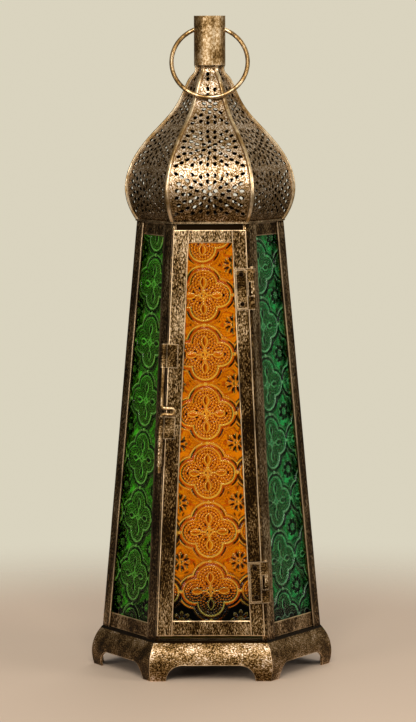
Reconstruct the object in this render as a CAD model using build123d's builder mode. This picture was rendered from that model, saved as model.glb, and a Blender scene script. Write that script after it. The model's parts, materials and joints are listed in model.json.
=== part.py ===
from build123d import *
from math import acos, atan2, ceil, cos, degrees, floor, hypot, pi, radians, sin, sqrt, tan
import os

# A hexagonal candle lantern: flared base, tapered glazed body with a hinged door, pierced onion dome,
# finial tube and wire carry ring. Millimetres, +Z up, the door faces -Y, the origin is on the axis at
# the level of the feet. Sides and corners count anticlockwise from the front, seen from above.

os.makedirs("parts", exist_ok=True)

# Hexagon
SIDES = 6
SIDE_TURN = 360 / SIDES
LOBES = 4
FRONT_TURN = 270
side_names = ["front", "right_front", "right_back", "back", "left_back", "left_front"]
corner_names = ["front_left", "front_right", "right", "back_right", "back_left", "left"]

# Main heights, and radii to the corners
base_height = 18.0
body_height = 188.2
dome_height = 70.5
tube_length = 22.5
body_bottom_radius = 50.7
body_top_radius = 33.9

# Sheet, glass and clearances
frame_sheet = 0.8
dome_sheet = 0.6
leaf_sheet = 0.6
glass_thickness = 2.5
glass_lap = 3.2
glass_end_gap = 2.2
running_gap = 0.05
seat_gap = 0.3

# Base skirt: distances from the axis to the middle of a side
skirt_bulge = 4.3
skirt_bulge_height = 7.5
skirt_foot_tuck = 0.9
skirt_sheet = 1.0
skirt_lip = 6.0
foot_width = 7.0
apron_height = 7.3

# Candle cup
cup_radius = 20.0
cup_wall = 0.6
cup_height = 8.0
cup_rivet_radius = 1.5
cup_rivet_head_radius = 3.0
cup_rivet_head = 0.6

# Corner posts and side rails
post_flange = 6.2
front_post_flange = 8.0
door_return = 2.0
bottom_rail_width = 7.0
top_rail_width = 6.0
rail_end_inset = 2.6
header_end_inset = 0.9

# Pressing of the glass: raised quatrefoils on a square lattice, placed and turned by hand on each pane
press_relief = 0.75
press_pitch = 26.75
upright_lobe_offset = 5.45
upright_lobe_radius = 8.0
level_lobe_offset = 6.9
level_lobe_radius = 7.4
lobe_line = 2.1
leaf_offset = 6.05
press_leaf_length = 4.9
press_leaf_width = 2.6
boss_reach = 1.95
press_places = [(0, 22.6), (-4.3, 61.0), (2.0, 50.0), (1.5, 31.0), (-3.0, 44.0), (-0.4, 160.5)]
press_turns = [1.25, 0.6, -0.8, 0.5, 0.9, -0.6]

# Glass clips
clip_width = 6.0
clip_sheet = 0.6
clip_lip = 3.2
clip_from_edge = 11.0

# Door
door_gap = 0.3
door_side_gap = 0.7
door_bottom_gap = 2.2
door_top_gap = 2.8
left_stile_width = 7.1
right_stile_width = 6.5
door_bottom_rail_width = 7.0
door_top_rail_width = 5.9
door_rail_end_inset = 2.4

# Hinges
upper_hinge_height = 176.8
lower_hinge_height = 44.5
leaf_length = 18.8
door_leaf_width = 6.2
post_leaf_width = 4.2
barrel_radius = 1.1
barrel_offset = 1.1
knuckle_gap = 0.2
pin_radius = 0.5
pin_head_radius = 0.9
pin_head = 0.5
leaf_rim = 0.7
leaf_recess = 0.25
strap_foot = 0.4

# Rivets
rivet_radius = 0.5
rivet_head_radius = 1.1
rivet_head = 0.6
rivet_tail_radius = 0.8
rivet_tail = 0.3
rivet_pitch = 13.4
door_rivet_inset = 3.8
post_rivet_inset = 2.7

# Latch
bolt_radius = 0.75
bolt_outside = 1.3
guide_radius = 1.3
guide_plate = 0.5
guide_plate_reach = 5.1
upper_guide_height = 141.4
upper_guide_length = 10.8
lower_guide_height = 109.4
lower_guide_length = 10.0
keeper_height = 97.0
keeper_length = 11.8
keeper_tab = 4.4
bolt_end_height = 94.0
loop_pitch = 2.8
loop_reach = 4.6
loop_bend = 1.35

# Crown ring and dome
crown_sheet = 0.8
crown_lap = 0.5
crown_width = 7.0
dome_inset = 0.5
dome_bulge_radius = 38.3
dome_bulge_height = 14.6
dome_shoulder_radius = 32.8
dome_shoulder_height = 30.4
dome_waist_radius = 20.2
dome_waist_height = 45.0
dome_taper_radius = 12.6
dome_taper_height = 56.0
dome_throat_radius = 7.6
dome_throat_height = 65.2
rib_width = 1.8
rib_proud = 0.9
rib_depth = 0.5
rib_round = 0.55
neck_length = 3.5

# Piercing of the dome: rosettes of radial slots
hole_length = 2.25
hole_width = 1.65
hole_pitch = 3.3
ring_pitch = 2.95
rosette_pitch = 22.5
first_rosette = 13.5
pierced_border = 2.2
pierced_edge = 0.5

# Finial tube and carry ring
tube_radius = 7.2
tube_wall = 0.8
ring_hole_drop = 6.3
ring_hole_radius = 1.55
ring_radius = 17.4
ring_wire = 2.0
ring_joint_turn = 0.8
ring_joint_place = 51.5

# Levels and angles that follow
flat = cos(pi / SIDES)
slant = tan(pi / SIDES)
body_top = base_height + body_height
crown_top = body_top + crown_sheet
dome_top = crown_top + dome_height
bottom_flat = body_bottom_radius * flat
top_flat = body_top_radius * flat
lean = atan2(bottom_flat - top_flat, body_height)
slope = hypot(bottom_flat - top_flat, body_height)
edge_lean = atan2((body_bottom_radius - body_top_radius) / 2, slope)
trim = 1.0


def save(builder, name):
    """Label a finished piece and write it under its own name."""
    builder.part.label = name
    export_step(builder.part, f"parts/{name}.step", write_pcurves=False)


def face_plane(side, proud=0.0):
    """Plane on a leaning side face: x to the right seen from outside, y up the slope, z outward."""
    turn = radians(FRONT_TURN + side * SIDE_TURN)
    outward = Vector(cos(turn) * cos(lean), sin(turn) * cos(lean), sin(lean))
    foot = Vector(cos(turn) * bottom_flat, sin(turn) * bottom_flat, base_height)
    return Plane(origin=foot + outward * proud, x_dir=(-sin(turn), cos(turn), 0), z_dir=outward)


def corner_point(corner, height):
    """Point on the slanted edge of the body at a height above the ground."""
    turn = radians(FRONT_TURN + (corner - 0.5) * SIDE_TURN)
    share = (height - base_height) / body_height
    radius = body_bottom_radius + (body_top_radius - body_bottom_radius) * share
    return Vector(radius * cos(turn), radius * sin(turn), height)


def edge_direction(corner):
    """Unit vector up the slanted edge of the body."""
    return (corner_point(corner, body_top) - corner_point(corner, base_height)).normalized()


def edge_plane(corner, side, height, proud=0.0):
    """Plane on a side face at its slanted edge: x to the right, y up the edge, z outward."""
    outward = face_plane(side).z_dir
    right = edge_direction(corner).cross(outward)
    return Plane(origin=corner_point(corner, height) + outward * proud, x_dir=right, z_dir=outward)


def section_plane(corner, height):
    """Plane square to a front corner's edge: x to the right, y outward from the front, z down the edge."""
    along = edge_direction(corner)
    right = along.cross(face_plane(0).z_dir)
    return Plane(origin=corner_point(corner, height), x_dir=right, z_dir=-along)


def radial_plane(turn):
    """Upright plane through the axis: x outward at an angle round the axis, y up."""
    angle = radians(turn)
    return Plane(origin=(0, 0, 0), x_dir=(cos(angle), sin(angle), 0), z_dir=(sin(angle), -cos(angle), 0))


def edge_point(hand, up, inset):
    """Point on a side face, inset square from its left (-1) or right (+1) edge."""
    half = (body_bottom_radius + (body_top_radius - body_bottom_radius) * up / slope) / 2
    return (hand * (half - inset / cos(edge_lean)), up)


def panel_outline(low, high, left_inset, right_inset):
    """Trapezium on a side face between two levels, inset from both slanted edges."""
    return [
        edge_point(-1, low, left_inset),
        edge_point(1, low, right_inset),
        edge_point(1, high, right_inset),
        edge_point(-1, high, left_inset),
    ]


def strip_outline(hand, near, far, low, high):
    """Strip along one slanted edge of a side face, between two insets."""
    return [
        edge_point(hand, low, near),
        edge_point(hand, low, far),
        edge_point(hand, high, far),
        edge_point(hand, high, near),
    ]


def trim_to_body():
    """Cut the ends of a leaning strip level with the base and the crown."""
    split(bisect_by=Plane.XY.offset(base_height), keep=Keep.TOP)
    split(bisect_by=Plane.XY.offset(body_top), keep=Keep.BOTTOM)


def wedge(reach, back=0.0):
    """Corners of the sixth of the plan behind the front side, set back from both corner planes."""
    tip = -back / sin(pi / SIDES)
    return [(0, tip), (-reach * slant, tip - reach), (reach * slant, tip - reach)]


# Base skirt: one side's section, mitred at the corners, six sides joined
skirt_top_flat = bottom_flat
skirt_bulge_flat = skirt_top_flat + skirt_bulge
skirt_foot_flat = skirt_bulge_flat - skirt_foot_tuck
skirt_side_length = 2 * (skirt_foot_flat + skirt_sheet) * slant
arch_width = 2 * skirt_foot_flat * slant - 2 * foot_width

with BuildPart() as skirt_side:
    with BuildSketch(radial_plane(FRONT_TURN)):
        with BuildLine():
            ThreePointArc(
                (skirt_foot_flat, 0), (skirt_bulge_flat, skirt_bulge_height), (skirt_top_flat, base_height)
            )
            Polyline(
                (skirt_top_flat, base_height),
                (skirt_top_flat - skirt_lip, base_height),
                (skirt_top_flat - skirt_lip, base_height - skirt_sheet),
                (skirt_top_flat - skirt_sheet, base_height - skirt_sheet),
            )
            ThreePointArc(
                (skirt_top_flat - skirt_sheet, base_height - skirt_sheet),
                (skirt_bulge_flat - skirt_sheet, skirt_bulge_height),
                (skirt_foot_flat - skirt_sheet, 0),
            )
            Line((skirt_foot_flat - skirt_sheet, 0), (skirt_foot_flat, 0))
        make_face()
    extrude(amount=skirt_side_length, both=True)
    with BuildSketch(Plane.XY):
        Polygon(*wedge(skirt_bulge_flat + trim), align=None)
    extrude(amount=base_height, mode=Mode.INTERSECT)
    with BuildSketch(Plane.XZ.offset(skirt_bulge_flat + trim)):
        with BuildLine():
            Line((-arch_width / 2, 0), (arch_width / 2, 0))
            ThreePointArc(
                (arch_width / 2, 0),
                (arch_width / 2 - apron_height * (1 - cos(pi / 4)), apron_height * sin(pi / 4)),
                (arch_width / 2 - apron_height, apron_height),
            )
            Line((arch_width / 2 - apron_height, apron_height), (apron_height - arch_width / 2, apron_height))
            ThreePointArc(
                (apron_height - arch_width / 2, apron_height),
                (apron_height * (1 - cos(pi / 4)) - arch_width / 2, apron_height * sin(pi / 4)),
                (-arch_width / 2, 0),
            )
        make_face()
    extrude(amount=-(skirt_bulge + skirt_lip + trim), mode=Mode.SUBTRACT)

with BuildPart() as base_skirt:
    for side in range(SIDES):
        add(skirt_side.part, rotation=(0, 0, side * SIDE_TURN))
save(base_skirt, "base_skirt")

# Floor plate inside the rails, on the skirt's lip
floor_radius = (bottom_flat - 2 * frame_sheet / cos(lean) - seat_gap) / flat
with BuildPart() as floor_plate:
    with BuildSketch(Plane.XY.offset(base_height)):
        RegularPolygon(radius=floor_radius, side_count=SIDES)
        Circle(cup_rivet_radius + running_gap, mode=Mode.SUBTRACT)
    extrude(amount=frame_sheet)
save(floor_plate, "floor_plate")

# Candle cup and its rivet
cup_floor = base_height + frame_sheet
with BuildPart() as candle_cup:
    with BuildSketch(Plane.XY.offset(cup_floor)):
        Circle(cup_radius + cup_wall)
        Circle(cup_rivet_radius + running_gap, mode=Mode.SUBTRACT)
    extrude(amount=cup_wall)
    with BuildSketch(Plane.XY.offset(cup_floor + cup_wall)):
        Circle(cup_radius + cup_wall)
        Circle(cup_radius, mode=Mode.SUBTRACT)
    extrude(amount=cup_height - cup_wall)
save(candle_cup, "candle_cup")

with BuildPart() as candle_cup_rivet:
    with BuildSketch(Plane.XY.offset(base_height - cup_rivet_head)):
        Circle(cup_rivet_head_radius)
    extrude(amount=cup_rivet_head)
    with BuildSketch(Plane.XY.offset(base_height)):
        Circle(cup_rivet_radius)
    extrude(amount=frame_sheet + cup_wall)
    with BuildSketch(Plane.XY.offset(cup_floor + cup_wall)):
        Circle(cup_rivet_head_radius)
    extrude(amount=cup_rivet_head)
save(candle_cup_rivet, "candle_cup_rivet")


def flange_width(side, corner):
    """Width of a post's flange: a narrow return behind the door, wider beside it, plain elsewhere."""
    if side == 0:
        return door_return
    return front_post_flange if corner in (0, 1) else post_flange


# Corner posts: two flanges folded along the slanted edge
hinge_heights = [upper_hinge_height, lower_hinge_height]
post_rivets = [(post_rivet_inset, hand * rivet_pitch / 2) for hand in (-1, 1)]
door_rivets = [(-door_rivet_inset, hand * rivet_pitch / 2) for hand in (-1, 1)]
rivet_hole_radius = rivet_radius + running_gap

for corner in range(SIDES):
    left_side = (corner - 1) % SIDES
    with BuildPart() as corner_post:
        with BuildSketch(face_plane(corner)):
            Polygon(*strip_outline(-1, 0, flange_width(corner, corner), -trim, slope + trim), align=None)
        extrude(amount=-frame_sheet)
        with BuildSketch(face_plane(left_side)):
            Polygon(*strip_outline(1, 0, flange_width(left_side, corner), -trim, slope + trim), align=None)
        extrude(amount=-frame_sheet)
        trim_to_body()
        if corner == 1:
            for height in hinge_heights:
                with BuildSketch(edge_plane(1, 1, height)):
                    with Locations(*post_rivets):
                        Circle(rivet_hole_radius)
                extrude(amount=-frame_sheet, mode=Mode.SUBTRACT)
    save(corner_post, f"corner_post_{corner_names[corner]}")

# One quatrefoil of the pressing: a raised line round four lobes, a leaf in each and a boss
upright_lobes = [(0, -upright_lobe_offset), (0, upright_lobe_offset)]
level_lobes = [(-level_lobe_offset, 0), (level_lobe_offset, 0)]
with BuildSketch() as quatrefoil:
    with Locations(*upright_lobes):
        Circle(upright_lobe_radius)
    with Locations(*level_lobes):
        Circle(level_lobe_radius)
    with Locations(*upright_lobes):
        Circle(upright_lobe_radius - lobe_line, mode=Mode.SUBTRACT)
    with Locations(*level_lobes):
        Circle(level_lobe_radius - lobe_line, mode=Mode.SUBTRACT)
    with PolarLocations(leaf_offset, LOBES):
        Ellipse(press_leaf_length / 2, press_leaf_width / 2)
    RegularPolygon(boss_reach, side_count=LOBES)


def press_ground(side, front, outline):
    """Sketch of the ground between the raised quatrefoils of a pane, on the front of its glass."""
    across, up = press_places[side]
    rows = range(floor(-up / press_pitch), ceil((slope - up) / press_pitch) + 1)
    spots = [(column * press_pitch, row * press_pitch) for column in (-1, 0, 1) for row in rows]
    with BuildSketch(face_plane(side, front)) as ground:
        Polygon(*outline, align=None)
        with Locations(Location((across, up, 0), (0, 0, press_turns[side]))):
            with Locations(*spots):
                add(quatrefoil.sketch, mode=Mode.SUBTRACT)
    return ground.sketch


# Rails, glass and clips of the five fixed sides
rail_back = -2 * frame_sheet
glass_back = rail_back - glass_thickness
for side in range(1, SIDES):
    with BuildPart() as side_bottom_rail:
        with BuildSketch(face_plane(side, -frame_sheet)):
            outline = panel_outline(-trim, bottom_rail_width, rail_end_inset, rail_end_inset)
            Polygon(*outline, align=None)
        extrude(amount=-frame_sheet)
        trim_to_body()
    save(side_bottom_rail, f"side_bottom_rail_{side_names[side]}")

    with BuildPart() as side_top_rail:
        with BuildSketch(face_plane(side, -frame_sheet)):
            outline = panel_outline(slope - top_rail_width, slope + trim, rail_end_inset, rail_end_inset)
            Polygon(*outline, align=None)
        extrude(amount=-frame_sheet)
        trim_to_body()
    save(side_top_rail, f"side_top_rail_{side_names[side]}")

    with BuildPart() as side_glass:
        outline = panel_outline(glass_end_gap, slope - glass_end_gap, glass_lap, glass_lap)
        with BuildSketch(face_plane(side, rail_back)):
            Polygon(*outline, align=None)
        extrude(amount=-glass_thickness)
        extrude(press_ground(side, rail_back, outline), amount=-press_relief, mode=Mode.SUBTRACT)
    save(side_glass, f"side_glass_{side_names[side]}")


def clip_section(seat, thickness, end, inward):
    """Outline of a bent clip: a foot on the rail beyond the glass's end, a lip over the glass's back."""
    root = end - inward * clip_sheet
    back = seat - thickness
    return [
        (seat, root),
        (seat, end),
        (back, end),
        (back, end + inward * clip_lip),
        (back - clip_sheet, end + inward * clip_lip),
        (back - clip_sheet, root),
    ]


def clip_plane(side, across):
    """Plane across a side face at a distance from its centre line: x outward, y up the slope."""
    face = face_plane(side)
    return Plane(origin=face.origin + face.x_dir * across, x_dir=face.z_dir, z_dir=-face.x_dir)


with BuildPart() as side_glass_clips:
    for side in range(1, SIDES):
        for end, inward in ((glass_end_gap, 1), (slope - glass_end_gap, -1)):
            for hand in (-1, 1):
                across = edge_point(hand, end, clip_from_edge)[0]
                with BuildSketch(clip_plane(side, across)):
                    Polygon(*clip_section(rail_back, glass_thickness, end, inward), align=None)
                extrude(amount=clip_width / 2, both=True)
save(side_glass_clips, "side_glass_clips")

# Door: rails behind, stiles in front, glass behind the rails
rail_front = door_gap + frame_sheet
stile_front = rail_front + frame_sheet
door_low = door_bottom_gap
door_high = slope - door_top_gap

with BuildPart() as door_left_stile:
    with BuildSketch(face_plane(0, rail_front)):
        outline = strip_outline(-1, door_side_gap, door_side_gap + left_stile_width, door_low, door_high)
        Polygon(*outline, align=None)
    extrude(amount=frame_sheet)
save(door_left_stile, "door_left_stile")

with BuildPart() as door_right_stile:
    with BuildSketch(face_plane(0, rail_front)):
        outline = strip_outline(1, door_side_gap, door_side_gap + right_stile_width, door_low, door_high)
        Polygon(*outline, align=None)
    extrude(amount=frame_sheet)
    for height in hinge_heights:
        with BuildSketch(edge_plane(1, 0, height, stile_front)):
            with Locations(*door_rivets):
                Circle(rivet_hole_radius)
        extrude(amount=-frame_sheet, mode=Mode.SUBTRACT)
save(door_right_stile, "door_right_stile")

with BuildPart() as door_bottom_rail:
    with BuildSketch(face_plane(0, door_gap)):
        top = door_low + door_bottom_rail_width
        Polygon(*panel_outline(door_low, top, door_rail_end_inset, door_rail_end_inset), align=None)
    extrude(amount=frame_sheet)
save(door_bottom_rail, "door_bottom_rail")

with BuildPart() as door_top_rail:
    with BuildSketch(face_plane(0, door_gap)):
        bottom = door_high - door_top_rail_width
        Polygon(*panel_outline(bottom, door_high, door_rail_end_inset, door_rail_end_inset), align=None)
    extrude(amount=frame_sheet)
save(door_top_rail, "door_top_rail")

door_glass_low = door_low + glass_end_gap
door_glass_high = door_high - glass_end_gap
with BuildPart() as door_glass:
    left_inset = door_side_gap + left_stile_width - glass_lap
    right_inset = door_side_gap + right_stile_width - glass_lap
    outline = panel_outline(door_glass_low, door_glass_high, left_inset, right_inset)
    with BuildSketch(face_plane(0, door_gap)):
        Polygon(*outline, align=None)
    extrude(amount=-glass_thickness)
    extrude(press_ground(0, door_gap, outline), amount=-press_relief, mode=Mode.SUBTRACT)
save(door_glass, "door_glass")

with BuildPart() as door_glass_clips:
    for end, inward in ((door_glass_low, 1), (door_glass_high, -1)):
        for hand in (-1, 1):
            across = edge_point(hand, end, clip_from_edge)[0]
            with BuildSketch(clip_plane(0, across)):
                Polygon(*clip_section(door_gap, glass_thickness, end, inward), align=None)
            extrude(amount=clip_width / 2, both=True)
save(door_glass_clips, "door_glass_clips")

# Header of the doorway: a short rail behind the two front posts, just above the door's clips
header_low = door_glass_high + clip_sheet + seat_gap
with BuildPart() as front_header:
    with BuildSketch(face_plane(0, -frame_sheet)):
        Polygon(*panel_outline(header_low, slope + trim, header_end_inset, header_end_inset), align=None)
    extrude(amount=-frame_sheet)
    trim_to_body()
save(front_header, "side_top_rail_front")

# Hinges: the barrel lies along the front right edge, just outside the corner
leaf_front = stile_front + leaf_sheet
barrel = (barrel_offset, leaf_front - barrel_radius)
knuckle_length = (leaf_length - 2 * knuckle_gap) / 3
knuckle_starts = [0, leaf_length - knuckle_length]
fold = acos(face_plane(0).z_dir.dot(face_plane(1).z_dir))
recess_start = 2 * strap_foot + leaf_sheet
recess_end = strap_foot + post_leaf_width - leaf_rim


def beside(hand, along, out):
    """Point beside a front corner, measured along the next side face and out from it."""
    return (hand * (along * cos(fold) + out * sin(fold)), out * cos(fold) - along * sin(fold))


for hinge_name, height in (("upper", upper_hinge_height), ("lower", lower_hinge_height)):
    top_height = height + leaf_length / 2 * edge_direction(1).Z
    section = section_plane(1, top_height)

    with BuildPart() as hinge_door_leaf:
        with BuildSketch(section):
            Polygon(
                (-door_side_gap - door_leaf_width, stile_front),
                (-door_side_gap, stile_front),
                (-door_side_gap, leaf_front),
                (-door_side_gap - door_leaf_width, leaf_front),
                align=None,
            )
        extrude(amount=leaf_length)
        for start in knuckle_starts:
            with BuildSketch(section.offset(start)):
                with Locations(barrel):
                    Circle(barrel_radius)
                Polygon(
                    (-door_side_gap, stile_front),
                    (barrel[0], stile_front),
                    (barrel[0], leaf_front),
                    (-door_side_gap, leaf_front),
                    align=None,
                )
                with Locations(barrel):
                    Circle(pin_radius + running_gap, mode=Mode.SUBTRACT)
            extrude(amount=knuckle_length)
        with BuildSketch(edge_plane(1, 0, height, leaf_front)):
            with Locations(*door_rivets):
                Circle(rivet_hole_radius)
        extrude(amount=-leaf_sheet, mode=Mode.SUBTRACT)
        with BuildSketch(edge_plane(1, 0, height, leaf_front)):
            with Locations((-door_side_gap - door_leaf_width / 2, 0)):
                Rectangle(door_leaf_width - 2 * leaf_rim, leaf_length - 2 * leaf_rim)
        extrude(amount=-leaf_recess, mode=Mode.SUBTRACT)
    save(hinge_door_leaf, f"{hinge_name}_hinge_door_leaf")

    with BuildPart() as hinge_post_leaf:
        with BuildSketch(section):
            Polygon(
                beside(1, strap_foot, 0),
                beside(1, post_leaf_width + strap_foot, 0),
                beside(1, post_leaf_width + strap_foot, leaf_sheet),
                beside(1, strap_foot, leaf_sheet),
                align=None,
            )
        extrude(amount=leaf_length)
        with BuildSketch(section.offset(knuckle_length + knuckle_gap)):
            with Locations(barrel):
                Circle(barrel_radius)
            Polygon(
                (barrel[0] - barrel_radius / 2, barrel[1]),
                beside(1, strap_foot, 0),
                beside(1, 2 * strap_foot + leaf_sheet, leaf_sheet),
                (barrel[0] + barrel_radius / 2, barrel[1]),
                align=None,
            )
            with Locations(barrel):
                Circle(pin_radius + running_gap, mode=Mode.SUBTRACT)
        extrude(amount=knuckle_length)
        with BuildSketch(edge_plane(1, 1, height, leaf_sheet)):
            with Locations(*post_rivets):
                Circle(rivet_hole_radius)
        extrude(amount=-leaf_sheet, mode=Mode.SUBTRACT)
        with BuildSketch(edge_plane(1, 1, height, leaf_sheet)):
            with Locations(((recess_start + recess_end) / 2, 0)):
                Rectangle(recess_end - recess_start, leaf_length - 2 * leaf_rim)
        extrude(amount=-leaf_recess, mode=Mode.SUBTRACT)
    save(hinge_post_leaf, f"{hinge_name}_hinge_post_leaf")

    with BuildPart() as hinge_pin:
        with BuildSketch(section.offset(-knuckle_gap - pin_head)):
            with Locations(barrel):
                Circle(pin_head_radius)
        extrude(amount=pin_head)
        with BuildSketch(section.offset(-knuckle_gap)):
            with Locations(barrel):
                Circle(pin_radius)
        extrude(amount=leaf_length + knuckle_gap)
    save(hinge_pin, f"{hinge_name}_hinge_pin")


# Rivets: domed head outside, shank through leaf and strip, flat tail inside
rivet_grip = leaf_sheet - leaf_recess + frame_sheet
with BuildPart() as rivet:
    with BuildSketch(Plane.XZ):
        with BuildLine():
            Polyline(
                (0, rivet_head),
                (0, -rivet_grip - rivet_tail),
                (rivet_tail_radius, -rivet_grip - rivet_tail),
                (rivet_tail_radius, -rivet_grip),
                (rivet_radius, -rivet_grip),
                (rivet_radius, 0),
                (rivet_head_radius, 0),
            )
            TangentArc((0, rivet_head), (rivet_head_radius, 0), tangent=(1, 0))
        make_face()
    revolve(axis=Axis.Z)


def rivet_plane(seat, spot):
    """Plane at a rivet's place on its seat."""
    return Plane(origin=seat.from_local_coords(Vector(*spot)), x_dir=seat.x_dir, z_dir=seat.z_dir)


with BuildPart() as hinge_door_rivets:
    for height in hinge_heights:
        for spot in door_rivets:
            add(rivet_plane(edge_plane(1, 0, height, leaf_front - leaf_recess), spot).location * rivet.part)
save(hinge_door_rivets, "hinge_door_rivets")

with BuildPart() as hinge_post_rivets:
    for height in hinge_heights:
        for spot in post_rivets:
            add(rivet_plane(edge_plane(1, 1, height, leaf_sheet - leaf_recess), spot).location * rivet.part)
save(hinge_post_rivets, "hinge_post_rivets")

# Latch: a wire bolt beside the door's left edge, two guides on the stile and a keeper on the post
bolt_out = stile_front + bolt_radius + seat_gap
bolt_axis = (-bolt_outside, bolt_out)
bolt_bore = bolt_radius + running_gap

for guide_name, height, length in (
    ("upper", upper_guide_height, upper_guide_length),
    ("lower", lower_guide_height, lower_guide_length),
):
    with BuildPart() as latch_guide:
        with BuildSketch(section_plane(0, height)):
            with Locations(bolt_axis):
                Circle(guide_radius)
            Polygon(
                (-bolt_outside, stile_front),
                (guide_plate_reach, stile_front),
                (guide_plate_reach, stile_front + guide_plate),
                (-bolt_outside, stile_front + guide_plate),
                align=None,
            )
            with Locations(bolt_axis):
                Circle(bolt_bore, mode=Mode.SUBTRACT)
        extrude(amount=-length)
    save(latch_guide, f"latch_{guide_name}_guide")

with BuildPart() as latch_keeper:
    with BuildSketch(section_plane(0, keeper_height)):
        with Locations(bolt_axis):
            Circle(guide_radius)
        Polygon(
            beside(-1, strap_foot, 0),
            beside(-1, keeper_tab, 0),
            beside(-1, keeper_tab, guide_plate),
            beside(-1, 2 * strap_foot + leaf_sheet, guide_plate),
            (-bolt_outside - guide_plate, bolt_out),
            (-bolt_outside + guide_plate, bolt_out),
            align=None,
        )
        with Locations(bolt_axis):
            Circle(bolt_bore, mode=Mode.SUBTRACT)
    extrude(amount=-keeper_length)
save(latch_keeper, "latch_keeper")

latch_rise = edge_direction(0).Z
loop_seat = lower_guide_height + lower_guide_length * latch_rise
loop_height = loop_seat + (seat_gap + bolt_radius + loop_pitch / 2) * latch_rise
bolt_top = (upper_guide_height - loop_height) / latch_rise + upper_guide_length
bolt_bottom = (bolt_end_height - loop_height) / latch_rise
with BuildPart() as latch_bolt:
    with BuildLine(edge_plane(0, 0, loop_height, bolt_out)) as bolt_path:
        FilletPolyline(
            (-bolt_outside, bolt_bottom),
            (-bolt_outside, -loop_pitch / 2),
            (loop_reach, -loop_pitch / 2),
            (loop_reach, loop_pitch / 2),
            (-bolt_outside, loop_pitch / 2),
            (-bolt_outside, bolt_top),
            radius=loop_bend,
        )
    with BuildSketch(Plane(origin=bolt_path.line @ 0, z_dir=bolt_path.line % 0)):
        Circle(bolt_radius)
    sweep()
save(latch_bolt, "latch_bolt")

# Crown ring between the body and the dome
crown_radius = body_top_radius + crown_lap
with BuildPart() as crown_ring:
    with BuildSketch(Plane.XY.offset(body_top)):
        RegularPolygon(radius=crown_radius, side_count=SIDES)
        RegularPolygon(radius=crown_radius - crown_width, side_count=SIDES, mode=Mode.SUBTRACT)
    extrude(amount=crown_sheet)
save(crown_ring, "crown_ring")

# Dome: one onion curve of corner radius against height, for the ribs as it is and for the panels flattened
neck_radius = tube_radius - rib_proud
dome_stations = [
    (body_top_radius - dome_inset, crown_top),
    (dome_bulge_radius, crown_top + dome_bulge_height),
    (dome_shoulder_radius, crown_top + dome_shoulder_height),
    (dome_waist_radius, crown_top + dome_waist_height),
    (dome_taper_radius, crown_top + dome_taper_height),
    (dome_throat_radius, crown_top + dome_throat_height),
    (neck_radius, dome_top),
]
CURVE_STEPS = 24


def onion_curve(squeeze):
    """The onion curve with its radii multiplied, ending straight up at the neck."""
    points = [(radius * squeeze, height) for radius, height in dome_stations]
    start = (dome_bulge_radius - body_top_radius + dome_inset, dome_bulge_height / 2)
    return Spline(*points, tangents=(Vector(*start).normalized(), (0, 1)))


def beside_curve(curve, out):
    """Points along a curve of radius and height, moved square to it by a distance outward."""
    points = []
    for step in range(CURVE_STEPS + 1):
        place = curve @ (step / CURVE_STEPS)
        along = curve % (step / CURVE_STEPS)
        points.append((place.X + along.Y * out, place.Y - along.X * out))
    return points


def lower_radius(edge):
    """Distance from the axis of an edge's lowest end."""
    foot = edge.vertices().sort_by(Axis.Z)[0]
    return hypot(foot.X, foot.Y)


panel_curve = onion_curve(flat)
rib_curve = onion_curve(1.0)


def dome_holes():
    """Planes of the punched slots on the front panel: rosettes up its middle, each slot on its own rosette."""
    length = panel_curve.length
    centres = [first_rosette + index * rosette_pitch for index in range(ceil(length / rosette_pitch))]
    planes = []
    for centre in centres:
        for ring in range(ceil(rosette_pitch / ring_pitch)):
            radius = ring * ring_pitch
            count = max(1, round(2 * pi * radius / hole_pitch))
            for index in range(count):
                turn = 2 * pi * (index + 0.5 * (ring % 2)) / count
                across = radius * cos(turn)
                along = centre + radius * sin(turn)
                if abs(along - centre) > rosette_pitch / 2 - hole_width / 2:
                    continue
                if not pierced_border < along < length - hole_length:
                    continue
                place = panel_curve.position_at(along, position_mode=PositionMode.LENGTH)
                rise = panel_curve.tangent_at(along, position_mode=PositionMode.LENGTH)
                half = place.X * slant - rib_width / 2 / cos(pi / SIDES)
                reach = hypot(hole_length * cos(turn), hole_width * sin(turn)) / 2
                if abs(across) + reach > half - pierced_edge:
                    continue
                outward = Vector(0, -rise.Y, -rise.X)
                upward = Vector(0, -rise.X, rise.Y)
                spoke = Vector(1, 0, 0) * cos(turn) + upward * sin(turn)
                centre_point = Vector(across, -place.X, place.Y)
                planes.append(Plane(origin=centre_point - outward * trim, x_dir=spoke, z_dir=outward))
    return planes


hole_planes = dome_holes()
neck_flat = neck_radius * flat
with BuildPart() as front_dome_panel:
    with BuildSketch(radial_plane(FRONT_TURN)):
        with BuildLine():
            outside = beside_curve(panel_curve, 0)
            inside = beside_curve(panel_curve, -dome_sheet)
            Spline(*outside)
            Polyline(
                outside[-1],
                (neck_flat, dome_top + neck_length),
                (neck_flat - dome_sheet, dome_top + neck_length),
                inside[-1],
            )
            Spline(*inside)
            Line(inside[0], outside[0])
        make_face()
    extrude(amount=dome_bulge_radius, both=True)
    split(bisect_by=Plane.XY.offset(crown_top), keep=Keep.TOP)
    with BuildSketch(Plane.XY.offset(crown_top - trim)):
        Polygon(*wedge(dome_bulge_radius, rib_width / 2), align=None)
    extrude(amount=dome_height + neck_length + 2 * trim, mode=Mode.INTERSECT)
    with BuildSketch(*hole_planes):
        Ellipse(hole_length / 2, hole_width / 2)
    extrude(amount=2 * trim, mode=Mode.SUBTRACT)

for side in range(SIDES):
    with BuildPart() as dome_panel:
        add(front_dome_panel.part, rotation=(0, 0, side * SIDE_TURN))
    save(dome_panel, f"dome_panel_{side_names[side]}")

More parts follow.
